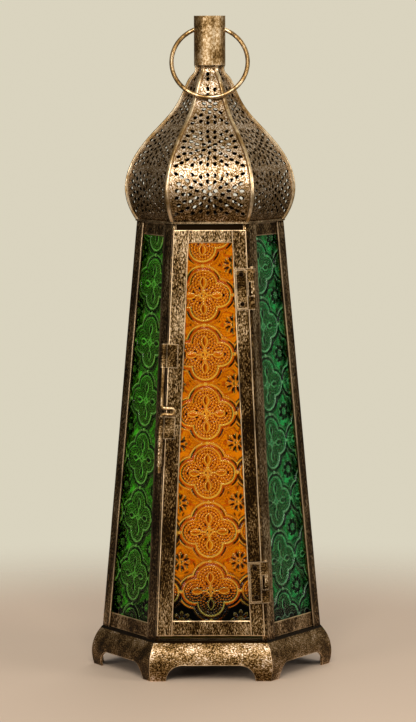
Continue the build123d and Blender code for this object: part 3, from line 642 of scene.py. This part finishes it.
POST_PATINA = [0.22, -0.10, 0.16, 0.12, 0.10, 0.18]
# Patina of the side rails, deeper on the top rails as a painted shade below the crown
RAIL_PATINA_AND_SHADE = {"bottom": [(0, 0.05)], "top": [(0, 0.16)]}
LEFT_STILE_PATINA = [(2, 0.0), (25, 0.14), (45, 0.28), (90, 0.22), (120, 0.06), (185, -0.02)]
RIGHT_STILE_PATINA = [(2, 0.02), (18, 0.10), (40, 0.53), (90, 0.39), (120, 0.20), (160, 0.10), (185, 0.02)]
DOOR_RAIL_PATINA = [(2, 0.10), (9, 0.06), (180, -0.04)]


def body_strips():
    """Six folded posts and the rails of the five fixed sides."""
    for corner, corner_name in enumerate(CORNER_NAMES):
        plain = FRONT_POST_FLANGE if corner in (0, 1) else POST_FLANGE
        left_flange = DOOR_RETURN if corner == 1 else plain
        right_flange = DOOR_RETURN if corner == 0 else plain
        node = f"corner_post_{corner_name}"
        post = folded_post(f"post_{corner_name}", corner, left_flange, right_flange, corner, POST_PATINA[corner])
        stands_for(post, node)
    left, right = edge_line(-1, RAIL_INSET), edge_line(1, RAIL_INSET)
    for side in range(1, SIDES):
        for level, low, high in (
            ("bottom", RAIL_END_GAP, BOTTOM_RAIL), ("top", SLOPE - TOP_RAIL, SLOPE - RAIL_END_GAP)
        ):
            name = f"{level}_rail_{SIDE_NAMES[side]}"
            rail = sheet_strip(name, side, left, right, low, high, -SHEET, side * RAIL_SEED, RAIL_PATINA_AND_SHADE[level])
            stands_for(rail, f"side_{name}")


def door_strips():
    """The door's two stiles over its two rails."""
    rail_front = DOOR_GAP + SHEET
    stile_front = rail_front + SHEET
    rail_left, rail_right = edge_line(-1, DOOR_RAIL_INSET), edge_line(1, DOOR_RAIL_INSET)
    strips = [
        ("door_left_stile", edge_line(-1, DOOR_SIDE_GAP), edge_line(-1, DOOR_SIDE_GAP + LEFT_STILE),
         DOOR_LOW, DOOR_HIGH, stile_front, LEFT_STILE_PATINA),
        ("door_right_stile", edge_line(1, DOOR_SIDE_GAP + RIGHT_STILE), edge_line(1, DOOR_SIDE_GAP),
         DOOR_LOW, DOOR_HIGH, stile_front, RIGHT_STILE_PATINA),
        ("door_bottom_rail", rail_left, rail_right, DOOR_LOW, DOOR_LOW + DOOR_BOTTOM_RAIL, rail_front,
         DOOR_RAIL_PATINA),
        ("door_top_rail", rail_left, rail_right, DOOR_HIGH - DOOR_TOP_RAIL, DOOR_HIGH, rail_front,
         DOOR_RAIL_PATINA),
    ]
    for seed, (node, left, right, low, high, front, stops) in enumerate(strips):
        name = node.replace("door_", "door_strip_")
        strip = sheet_strip(name, 0, left, right, low, high, front, seed * DOOR_SEED, stops)
        stands_for(strip, node)


# Pressed glass panes
# The pressing is three fields over a pane, each 0 to 1: the height of its relief, the crests that get a paler
# painted highlight and the painted shade of what looks dark.

class Pane(NamedTuple):
    """A side's glass: its colour, the place of one quatrefoil on it and the tilt of their lattice in degrees."""
    colour: str
    origin: tuple
    tilt: float


class Shading(NamedTuple):
    """How much painted shade a colour of glass gets: round its quatrefoils, as a 'ring' with its 'reach' outward,
    in the ground of their 'lobes', and between the petals of its flowers, as the width of a 'drop'."""
    ring: float
    reach: float
    lobes: float
    drop: float


class Lobe(NamedTuple):
    """Where points lie on the nearest lobe of a quatrefoil, and whether that is an upright one.

    'rim' is the distance outward from its beaded ground, 'along' and 'across' run down it from the middle of the
    quatrefoil, 'flank' is the angle round its own centre and 'leaf_rim' the distance to the rim of its leaf.
    """
    upright: np.ndarray
    rim: np.ndarray
    along: np.ndarray
    across: np.ndarray
    flank: np.ndarray
    leaf_rim: np.ndarray


def highest(first, second):
    """The greater of two sets of fields, field by field."""
    return [np.maximum(one, other) for one, other in zip(first, second)]


# How lines and spots end: the stretch over which a window falls, where spots end, and the power of a leaf's sine
SOFT = 0.2
SPOT_END = 1.2
SPOT_SOFT = 0.35
LEAF_POWER = 0.75


def ridge(distance, width):
    """A raised line: a bell of the distance from it."""
    return np.exp(-(distance / width) ** 2)


def window(value, low, high, soft):
    """1 between two levels, falling to 0 over a soft stretch outside them."""
    return np.clip((value - low) / soft + 1, 0, 1) * np.clip((high - value) / soft + 1, 0, 1)


def spot(along, across, length, width):
    """1 inside an ellipse of so much length and width, falling to 0 just outside its rim."""
    return np.clip((SPOT_END - np.hypot(2 * along / length, 2 * across / width)) / SPOT_SOFT, 0, 1)


def leaf(along, across, start, end, width):
    """Distance to the rim of a pointed leaf between two places on its own line, roughly; negative inside.

    Half the leaf's width goes as the sine of the share of its length, to a power.
    """
    share = np.clip((along - start) / (end - start), 0, 1)
    half = width / 2 * np.sin(math.pi * share) ** LEAF_POWER
    beyond = np.maximum(np.maximum(start - along, along - end), 0)
    return np.hypot(np.maximum(np.abs(across) - half, 0), beyond) - np.maximum(half - np.abs(across), 0)


# One quatrefoil: how far its lobes lie from its centre, and the radius of their beaded ground
UPRIGHT_LOBE = 5.45
UPRIGHT_GROUND = 5.9
LEVEL_LOBE = 6.9
LEVEL_GROUND = 5.3

# Outward from the rim of the beaded ground: a broad raised band, a groove with crescents of painted shade, a thin
# line
LINE_WIDTH = 0.36
BAND = (0.3, 0.95)
BAND_HEIGHT = 0.55
RING_START = 0.4
CRESCENT = (1.2, 1.85)
CRESCENT_SOFT = 0.12
UPRIGHT_CRESCENT = (46, 76)
LEVEL_CRESCENT = (8, 54)
CRESCENT_FADE = 8
BETWEEN_LINES = 1.0
OUTER_LINE = 2.15
OUTER_HEIGHT = 0.9
OUTER_SHADE = 0.4
OUTER_SHADE_PLACE = OUTER_LINE + 0.6

# Painted highlights: the light comes from the upper left. A line's crest is so bright on average, and so much
# more on the lit side
LIGHT = (-0.6, 0.8)
LIT_FROM = 0.1
INNER_CREST = (0.6, -0.3)
OUTER_CREST = (0.5, 0.45)

# Inside: rows of beads with pits of painted shade between them
BEAD_ROW = 1.25
BEAD_PITCH = 1.25
BEAD_GROUND = 0.1
BEAD_HEIGHT = 0.5
BEAD_CREST = 0.4
BEADS_START = 0.45
BEADS_FADE = 0.25
PIT_DEPTH = 2.6
PIT_START = 0.25
PIT_SHADE = 0.95

# A leaf in each lobe, as its start, end and width, with a stem, a halo of painted shade and painted shade on one half
LEAF = (3.6, 8.5, 2.7)
LEAF_CLEAR = 0.35
LEAF_FADE = 0.3
LEAF_FOOT = 0.3
LEAF_RISE = 0.3
LEAF_DARKENING = 1.4
LEAF_SHADE_START = 0.25
UPRIGHT_LEAF_SHADE = (0.8, 0.15)
LEVEL_LEAF_SHADE = (0.3, 0.0)
LEAF_OUTLINE = 0.24
STEM_WIDTH = 0.3
OUTLINE_HEIGHT = 0.5
OUTLINE_CREST = 0.75
OUTLINE_LIGHT = 0.8
HALO_PLACE = 0.5
HALO_SHADE = 0.6
FINE_WIDTH = 0.25

# Spots of painted shade, as length and width, at places down their lobe or beside it, and the lozenge in the middle
EYE_PLACE = 9.15
EYE = (1.25, 1.5)
UPRIGHT_DROP_PLACE = (3.3, 1.75)
UPRIGHT_DROP = (1.9, 0.85)
LEVEL_DROP_PLACE = (4.45, 1.6)
LEVEL_DROP = (1.5, 0.9)
PUPIL_PLACE = 0.85
PUPIL = (1.1, 0.75)
RIGHT_DROP_SHADE = 0.7
RIGHT_PUPIL_SHADE = 0.75
SPOT_DEPTH = 0.8
LOZENGE = 1.95
LOZENGE_HEIGHT = 0.45
LOZENGE_CREST = 0.3
LOZENGE_CLEAR = 0.2
RHOMB = 0.7


def nearest_lobe(x, y):
    """Places on the nearest of a quatrefoil's four lobes, by place from its centre."""
    from_upright = np.hypot(np.abs(y) - UPRIGHT_LOBE, x) - UPRIGHT_GROUND
    from_level = np.hypot(np.abs(x) - LEVEL_LOBE, y) - LEVEL_GROUND
    upright = from_upright < from_level
    along, across = np.where(upright, np.abs(y), np.abs(x)), np.where(upright, x, y)
    flank = np.arctan2(np.abs(across), along - np.where(upright, UPRIGHT_LOBE, LEVEL_LOBE))
    return Lobe(upright, np.minimum(from_upright, from_level), along, across, flank, leaf(along, across, *LEAF))


def lobe_rings(x, y, lobe, shading):
    """Fields of the two lines round the lobes, with painted highlights, and the band between them; painted shade
    lies in the ring, in the crescents of its groove and beyond the outer line.
    """
    outer = lobe.rim - OUTER_LINE
    lines = np.maximum(ridge(lobe.rim, LINE_WIDTH), OUTER_HEIGHT * ridge(outer, LINE_WIDTH))
    height = np.maximum(lines, BAND_HEIGHT * window(lobe.rim, *BAND, SOFT))
    lit = (LIGHT[0] * x + LIGHT[1] * y) / np.maximum(np.hypot(x, y), LIT_FROM)
    (inner_mean, inner_more), (outer_mean, outer_more) = INNER_CREST, OUTER_CREST
    is_outer = lobe.rim > BETWEEN_LINES
    crest = lines * np.where(is_outer, outer_mean + outer_more * lit, inner_mean + inner_more * lit)
    angle = np.degrees(lobe.flank)
    dark_flank = np.where(
        lobe.upright,
        window(angle, *UPRIGHT_CRESCENT, CRESCENT_FADE),
        window(angle, *LEVEL_CRESCENT, CRESCENT_FADE),
    )
    crescents = window(lobe.rim, *CRESCENT, CRESCENT_SOFT) * dark_flank
    ring = shading.ring * window(lobe.rim, RING_START, shading.reach, SOFT)
    beyond = OUTER_SHADE * ridge(lobe.rim - OUTER_SHADE_PLACE, FINE_WIDTH)
    return height, crest, np.maximum(np.maximum(crescents, ring), beyond)


def beads(lobe, shading):
    """Fields of the rows of beads in the lobes' grounds: waves across the rows times waves along each, with painted
    shade in the pits between them and over the ground.
    """
    inside = np.clip((-BEADS_START - lobe.rim) / BEADS_FADE, 0, 1)
    inside = inside * np.clip((lobe.leaf_rim - LEAF_CLEAR) / LEAF_FADE, 0, 1)
    row = np.where(lobe.upright, UPRIGHT_GROUND, LEVEL_GROUND) + np.round(lobe.rim / BEAD_ROW) * BEAD_ROW
    count = np.maximum(1, np.round(2 * math.pi * row / BEAD_PITCH))
    across_rows, along_row = 0.5 * np.cos(2 * math.pi * lobe.rim / BEAD_ROW), 0.5 * np.cos(count * lobe.flank)
    bead = (0.5 + across_rows) * (0.5 + along_row)
    pit = np.clip(PIT_DEPTH * (0.5 - across_rows) * (0.5 - along_row) - PIT_START, 0, PIT_SHADE)
    height = inside * (BEAD_GROUND + BEAD_HEIGHT * bead)
    return height, BEAD_CREST * inside * bead, inside * np.maximum(pit, shading.lobes)


def add_leaves(fields, x, y, lobe, shading):
    """The fields with a leaf in each lobe on a stem: outlined with a painted highlight, ringed by a halo of painted
    shade, with painted shade on the left half of an upright leaf and the lower half of a level one.
    """
    height, crest, shade = fields
    shade = np.maximum(shade, HALO_SHADE * ridge(lobe.leaf_rim - HALO_PLACE, FINE_WIDTH))
    half_shade = np.where(
        lobe.upright, np.where(x < 0, *UPRIGHT_LEAF_SHADE), np.where(y < 0, *LEVEL_LEAF_SHADE)
    )
    well_inside = np.clip((-lobe.leaf_rim - LEAF_SHADE_START) / SOFT + 1, 0, 1)
    leaf_shade = np.maximum(half_shade, LEAF_DARKENING * shading.lobes) * well_inside
    on_leaf = lobe.leaf_rim < 0
    height = np.where(on_leaf, LEAF_FOOT + LEAF_RISE * np.clip(-lobe.leaf_rim, 0, 1), height)
    crest = np.where(on_leaf, 0.0, crest)
    shade = np.where(on_leaf, leaf_shade, shade)
    stem = ridge(lobe.across, STEM_WIDTH) * window(lobe.along, LOZENGE, LEAF[0], SOFT)
    outline = np.maximum(ridge(lobe.leaf_rim, LEAF_OUTLINE), stem)
    height, crest = np.maximum(height, OUTLINE_HEIGHT * outline), np.maximum(crest, OUTLINE_CREST * outline)
    return height, crest, shade * (1 - OUTLINE_LIGHT * outline)


def add_middle(fields, x, y, lobe):
    """The fields with the lozenge in the middle, and the eyes, drops and pupils sunk beside the leaves, dark with
    painted shade, the drops and pupils more on the left.
    """
    height, crest, shade = fields
    eye = spot(lobe.along - EYE_PLACE, lobe.across, *EYE) * ~lobe.upright
    beside = np.abs(lobe.across)
    drop = np.where(
        lobe.upright,
        spot(lobe.along - UPRIGHT_DROP_PLACE[0], beside - UPRIGHT_DROP_PLACE[1], *UPRIGHT_DROP),
        spot(lobe.along - LEVEL_DROP_PLACE[0], beside - LEVEL_DROP_PLACE[1], *LEVEL_DROP),
    )
    pupil = spot(y, np.abs(x) - PUPIL_PLACE, *PUPIL)
    dark = np.maximum(eye, drop * np.where(x < 0, 1.0, RIGHT_DROP_SHADE))
    dark = np.maximum(dark, pupil * np.where(x < 0, 1.0, RIGHT_PUPIL_SHADE))
    from_lozenge = (np.abs(x) + np.abs(y) - LOZENGE) / math.sqrt(2)
    rhomb = RHOMB * ridge(from_lozenge, FINE_WIDTH)
    height = np.maximum(np.where(from_lozenge < 0, LOZENGE_HEIGHT, height), rhomb) * (1 - SPOT_DEPTH * dark)
    crest = np.maximum(np.where(from_lozenge < 0, LOZENGE_CREST, crest), rhomb) * (1 - dark)
    return height, crest, np.maximum(np.where(from_lozenge < LOZENGE_CLEAR, 0.0, shade), dark)


def quatrefoil(x, y, shading):
    """Fields of one quatrefoil, by place from its centre: rings round four beaded lobes, leaves and a lozenge."""
    lobe = nearest_lobe(x, y)
    fields = highest(lobe_rings(x, y, lobe, shading), beads(lobe, shading))
    return add_middle(add_leaves(fields, x, y, lobe, shading), x, y, lobe)


# The flower between four quatrefoils: petals, as their start, end and width, round a boss, with drops and buds
# of painted shade
PETALS = 8
PETAL = (1.0, 4.5, 1.9)
PETAL_HEIGHT = 0.75
PETAL_CREST = 0.55
PETAL_LINE_PLACE = 0.15
PETAL_ROUND = 0.7
PETAL_POWER = 0.6
FLOWER_DROP_PLACE = 2.9
FLOWER_DROP_LENGTH = 2.6
BUD_PLACE = 5.0
BUD_LENGTH = 1.5
BUD_SLANT = 0.8
BUD_SOFT = 0.4
BUD_SHADE = 0.4
BOSS = 0.85
BOSS_HEIGHT = 0.8
BOSS_CREST = 0.4


def round_boss(distance):
    """Height of a half ball, 0 to 1, by distance from its middle."""
    return np.sqrt(np.clip(1 - (distance / BOSS) ** 2, 0, 1))


def flower(x, y, drop_width):
    """Fields of a flower: petals round a boss with painted highlights on their rims, drops of painted shade between
    them, a bud of painted shade to the left and right.
    """
    radius = np.hypot(x, y)
    sector = 2 * math.pi / PETALS
    turn = np.arctan2(y, x)
    local = turn - sector * np.round(turn / sector)
    petal_rim = leaf(radius * np.cos(local), radius * np.sin(local), *PETAL)
    between = np.abs(local) - sector / 2
    drop_along = radius * np.cos(between) - FLOWER_DROP_PLACE
    drop = spot(drop_along, radius * np.sin(between), FLOWER_DROP_LENGTH, drop_width)
    bud = np.clip((BUD_LENGTH - np.abs(np.abs(x) - BUD_PLACE) - BUD_SLANT * np.abs(y)) / BUD_SOFT, 0, 1)
    boss = round_boss(radius)
    petal = PETAL_HEIGHT * np.clip(-petal_rim / PETAL_ROUND, 0, 1) ** PETAL_POWER
    petal_line = PETAL_CREST * ridge(petal_rim + PETAL_LINE_PLACE, FINE_WIDTH) * (radius < PETAL[1])
    height = np.maximum(petal, BOSS_HEIGHT * boss) * (1 - drop)
    crest = np.maximum(petal_line, BOSS_CREST * boss) * (1 - drop)
    return height, crest, np.maximum(drop, BUD_SHADE * bud)


def pressing(across, up, origin, tilt, shading):
    """Fields of the pressing on a pane: quatrefoils on a square lattice, which is turned by the tilt about one of
    them, at the origin, with bosses where they meet and a flower in the middle of each four."""
    turn = math.radians(tilt)
    x = (across - origin[0]) * math.cos(turn) + (up - origin[1]) * math.sin(turn)
    y = (up - origin[1]) * math.cos(turn) - (across - origin[0]) * math.sin(turn)
    cell_x, cell_y = x - PITCH * np.round(x / PITCH), y - PITCH * np.round(y / PITCH)
    flower_x, flower_y = np.abs(cell_x) - PITCH / 2, np.abs(cell_y) - PITCH / 2
    fields = highest(quatrefoil(cell_x, cell_y, shading), flower(flower_x, flower_y, shading.drop))
    boss = round_boss(np.minimum(np.hypot(flower_x, cell_y), np.hypot(cell_x, flower_y)))
    return [np.clip(field, 0, 1) for field in highest(fields, (boss, boss, np.zeros_like(boss)))]


# The panes side by side, in the order of the sides' names
PANES = [
    Pane("amber", origin=(0.0, 22.6), tilt=1.25),
    Pane("teal", origin=(-4.3, 61.0), tilt=0.6),
    Pane("teal", origin=(2.0, 50.0), tilt=-0.8),
    Pane("amber", origin=(1.5, 31.0), tilt=0.5),
    Pane("green", origin=(-3.0, 44.0), tilt=0.9),
    Pane("green", origin=(-0.4, 160.5), tilt=-0.6),
]
GLASSES = {"amber": amber_glass, "green": green_glass, "teal": teal_glass}
SHADINGS = {
    "amber": Shading(ring=0.5, reach=1.3, lobes=0.0, drop=1.05),
    "green": Shading(ring=1.0, reach=2.7, lobes=0.66, drop=2.3),
    "teal": Shading(ring=1.0, reach=2.7, lobes=0.60, drop=2.3),
}

# Painted shade on the outer edges (right 1, left -1) of the two front side panes, and on the foot of the door's
SHADED_PANE_EDGES = {1: 1, 5: -1}
EDGE_SHADE_START = 4.5
EDGE_SHADE_END = 9.0
EDGE_SHADE_WAVER = 1.2
EDGE_SHADE_DEPTH = 0.92
SHADED_FOOT = 22.5
FOOT_SHADE_FADE = 1.5


def pressed_pane(name, side, left_inset, right_inset, low, high, front):
    """A pane: a fine grid of the pressing in front, rims down to one flat back face.

    Painted shade darkens an outer edge, unevenly, and the low parts of the relief at the foot of the door's pane.
    """
    pane = PANES[side]
    rows = round((high - low) / PRESS_STEP) + 1
    up = np.linspace(low, high, rows)[:, None]
    left, right = edge_line(-1, left_inset)(up), edge_line(1, right_inset)(up)
    columns = round(float(np.mean(right - left)) / PRESS_STEP) + 1
    across = left + (right - left) * np.linspace(0, 1, columns)[None, :]
    up = np.broadcast_to(up, across.shape)
    height, crest, shade = pressing(across, up, pane.origin, pane.tilt, SHADINGS[pane.colour])
    if side in SHADED_PANE_EDGES:
        from_edge = right - across if SHADED_PANE_EDGES[side] > 0 else across - left
        uneven = from_edge + EDGE_SHADE_WAVER * hand_waver(up, across, side)
        shade = np.maximum(shade, EDGE_SHADE_DEPTH * np.clip((EDGE_SHADE_END - uneven) / (EDGE_SHADE_END - EDGE_SHADE_START), 0, 1))
    # painted shade over the low parts of the relief at the foot of the door's pane
    if side == 0:
        shade = np.maximum(shade, (1 - height) * np.clip((SHADED_FOOT - up) / FOOT_SHADE_FADE, 0, 1))
    face = on_side(side, across, up, front - RELIEF - RELIEF_SINK + RELIEF * height)
    index = np.arange(rows * columns).reshape(rows, columns)
    rim = np.concatenate([index[0, :-1], index[:-1, -1], index[-1, :0:-1], index[:0:-1, 0]])
    back = on_side(side, across.ravel()[rim], up.ravel()[rim], np.full(len(rim), front - GLASS))
    behind = rows * columns + np.arange(len(rim))
    after = np.roll(np.arange(len(rim)), -1)
    rim_quads = np.stack([rim, behind, behind[after], rim[after]], axis=-1)
    points = np.concatenate([face.reshape(-1, 3), back])
    plain = np.zeros(len(rim))
    attributes = {"crest": np.concatenate([crest.ravel(), plain]), "shade": np.concatenate([shade.ravel(), plain])}
    faces = [grid_quads(rows, columns), rim_quads, behind[::-1]]
    return make_piece(name, points, faces, GLASSES[pane.colour], attributes)


def glaze():
    """The door's pane and the five fixed panes."""
    for side, pane in enumerate(PANES):
        if side == 0:
            node, front = "door_glass", DOOR_GAP
            low, high = DOOR_LOW + GLASS_END_GAP, DOOR_HIGH - GLASS_END_GAP
            insets = (DOOR_SIDE_GAP + LEFT_STILE - GLASS_LAP, DOOR_SIDE_GAP + RIGHT_STILE - GLASS_LAP)
        else:
            node, front = f"side_glass_{SIDE_NAMES[side]}", -2 * SHEET
            low, high = GLASS_END_GAP, SLOPE - GLASS_END_GAP
            insets = (GLASS_LAP, GLASS_LAP)
        piece = pressed_pane(f"pressed_pane_{SIDE_NAMES[side]}", side, *insets, low, high, front)
        stands_for(piece, node)


# Finishes of the nodes that show as they are, where they differ from their slot's
OWN_FINISHES = {
    "base_skirt": base_brass,
    "finial_tube": tube_brass,
    # the strip above the door: dark patina and the painted shade of the gap below the crown
    "side_top_rail_front": dark_brass,
    "hinge_door_rivets": dark_brass,
    "hinge_post_rivets": dark_brass,
    "latch_upper_guide": plate_brass,
    "latch_lower_guide": plate_brass,
    "upper_hinge_door_leaf": plate_brass,
    "lower_hinge_door_leaf": plate_brass,
}


def dress_frame():
    """Finishes of the CAD pieces that show as they are."""
    finishes = {
        "antique_brass": sheet_brass,
        "pierced_brass": pierced_brass,
        "rubbed_brass": rubbed_brass,
        "dark_brass": dark_brass,
    }
    slots = {part["node"]: part["material_slot"] for part in frame["record"]["subparts"]}
    for name, piece in frame["nodes"].items():
        finish = OWN_FINISHES.get(name, finishes.get(slots[name]))
        if name.startswith("dome_rib"):
            finish = rib_brass
        if finish:
            piece.data.materials.clear()
            piece.data.materials.append(finish)


body_strips()
door_strips()
glaze()
dress_frame()


# Floor, light and background

BACKDROP = (0.70, 0.655, 0.52)
FLOOR = (0.60, 0.46, 0.34)
FLOOR_RADII = (0.5, 900.0)
FLOOR_ROWS = 24
FLOOR_SPOKES = 96
FLOOR_FADE = (160.0, 420.0)
FLOOR_ROUGHNESS = 0.8
FLOOR_SPECULAR = 0.2
SOFT_LIGHT = (0.95, 0.97, 1.0)
SOFT_STRENGTH = 0.40

# What metal mirrors: how bright it is low down and high up, and on the left and the right
HEIGHT_LEVELS = (-0.1, 0.9)
HEIGHT_GLOW = (0.25, 1.0)
SIDE_LEVELS = (-0.8, 0.6)
SIDE_GLOW = (0.55, 1.0)


def make_floor():
    """A round pale floor that fades into the background towards its rim: a polar grid at height 0."""
    radius = np.linspace(*FLOOR_RADII, FLOOR_ROWS)[:, None]
    turn = np.linspace(0, 2 * math.pi, FLOOR_SPOKES, endpoint=False)[None, :]
    points = np.stack([radius * np.cos(turn), radius * np.sin(turn), 0 * radius * turn], axis=-1)
    material, tree, shader, place = new_finish("pale_floor")
    shader.inputs["Base Color"].default_value = (*FLOOR, 1.0)
    shader.inputs["Roughness"].default_value = FLOOR_ROUGHNESS
    shader.inputs["Specular IOR Level"].default_value = FLOOR_SPECULAR
    from_axis = tree.nodes.new("ShaderNodeVectorMath")
    from_axis.operation = "LENGTH"
    tree.links.new(place, from_axis.inputs[0])
    fade = step_between(tree, from_axis.outputs["Value"], *(end * MM for end in FLOOR_FADE))
    clear = tree.nodes.new("ShaderNodeBsdfTransparent")
    both = tree.nodes.new("ShaderNodeMixShader")
    tree.links.new(fade, both.inputs["Fac"])
    tree.links.new(shader.outputs["BSDF"], both.inputs[1])
    tree.links.new(clear.outputs["BSDF"], both.inputs[2])
    tree.links.new(both.outputs["Shader"], tree.nodes["Material Output"].inputs["Surface"])
    mesh = bpy.data.meshes.new("floor")
    quads = ring_quads(FLOOR_ROWS, FLOOR_SPOKES)[:, ::-1]
    mesh.from_pydata((points.reshape(-1, 3) * MM).tolist(), [], quads.tolist() + [list(range(FLOOR_SPOKES))])
    mesh.materials.append(material)
    floor = bpy.data.objects.new("floor", mesh)
    bpy.context.scene.collection.objects.link(floor)


def make_lamp(name, place, aim, size, power, colour):
    """A square soft lamp at a place, turned towards a point, with its side in millimetres and power in watts."""
    data = bpy.data.lights.new(name, "AREA")
    data.size = size * MM
    data.energy = power
    data.color = colour
    lamp = bpy.data.objects.new(name, data)
    lamp.location = Vector(place) * MM
    lamp.rotation_euler = (Vector(aim) - Vector(place)).to_track_quat("-Z", "Y").to_euler()
    bpy.context.scene.collection.objects.link(lamp)


def make_world():
    """A pale background for the camera and the glass, a dimmer one below a pale ceiling for metal to mirror,
    and a weak soft light for the rest."""
    world = bpy.data.worlds.new("studio")
    bpy.context.scene.world = world
    world.use_nodes = True
    tree = world.node_tree
    paths = tree.nodes.new("ShaderNodeLightPath")
    seen = maths(tree, "MAXIMUM", paths.outputs["Is Camera Ray"], paths.outputs["Is Transmission Ray"])
    split = tree.nodes.new("ShaderNodeSeparateXYZ")
    tree.links.new(tree.nodes.new("ShaderNodeTexCoord").outputs["Generated"], split.inputs["Vector"])
    soft = tree.nodes["Background"]
    soft.inputs["Color"].default_value = (*SOFT_LIGHT, 1.0)
    soft.inputs["Strength"].default_value = SOFT_STRENGTH
    mirrored = tree.nodes.new("ShaderNodeBackground")
    mirrored.inputs["Color"].default_value = (*BACKDROP, 1.0)
    overhead = step_between(tree, split.outputs["Z"], *HEIGHT_LEVELS, *HEIGHT_GLOW)
    from_right = step_between(tree, split.outputs["X"], *SIDE_LEVELS, *SIDE_GLOW)
    plug(tree, maths(tree, "MULTIPLY", overhead, from_right), mirrored.inputs["Strength"])
    pale = tree.nodes.new("ShaderNodeBackground")
    pale.inputs["Color"].default_value = (*BACKDROP, 1.0)
    shown = soft
    for share, beyond in ((paths.outputs["Is Glossy Ray"], mirrored), (seen, pale)):
        both = tree.nodes.new("ShaderNodeMixShader")
        tree.links.new(share, both.inputs["Fac"])
        tree.links.new(shown.outputs[0], both.inputs[1])
        tree.links.new(beyond.outputs[0], both.inputs[2])
        shown = both
    tree.links.new(shown.outputs[0], tree.nodes["World Output"].inputs["Surface"])


make_floor()
make_world()
make_lamp("key_lamp", (0, -1150, 850), aim=(0, 0, 150), size=600, power=11.5, colour=(1.0, 0.96, 0.90))
make_lamp("right_lamp", (900, -500, 450), aim=(0, 0, 150), size=500, power=3.5, colour=(1.0, 0.97, 0.93))
make_lamp("left_lamp", (-720, -900, 330), aim=(0, 0, 170), size=350, power=3.8, colour=(1.0, 0.96, 0.92))
make_lamp("back_lamp", (200, 900, 1000), aim=(0, 0, 150), size=600, power=3, colour=(1.0, 0.98, 0.95))

bpy.context.scene.view_settings.view_transform = "Standard"
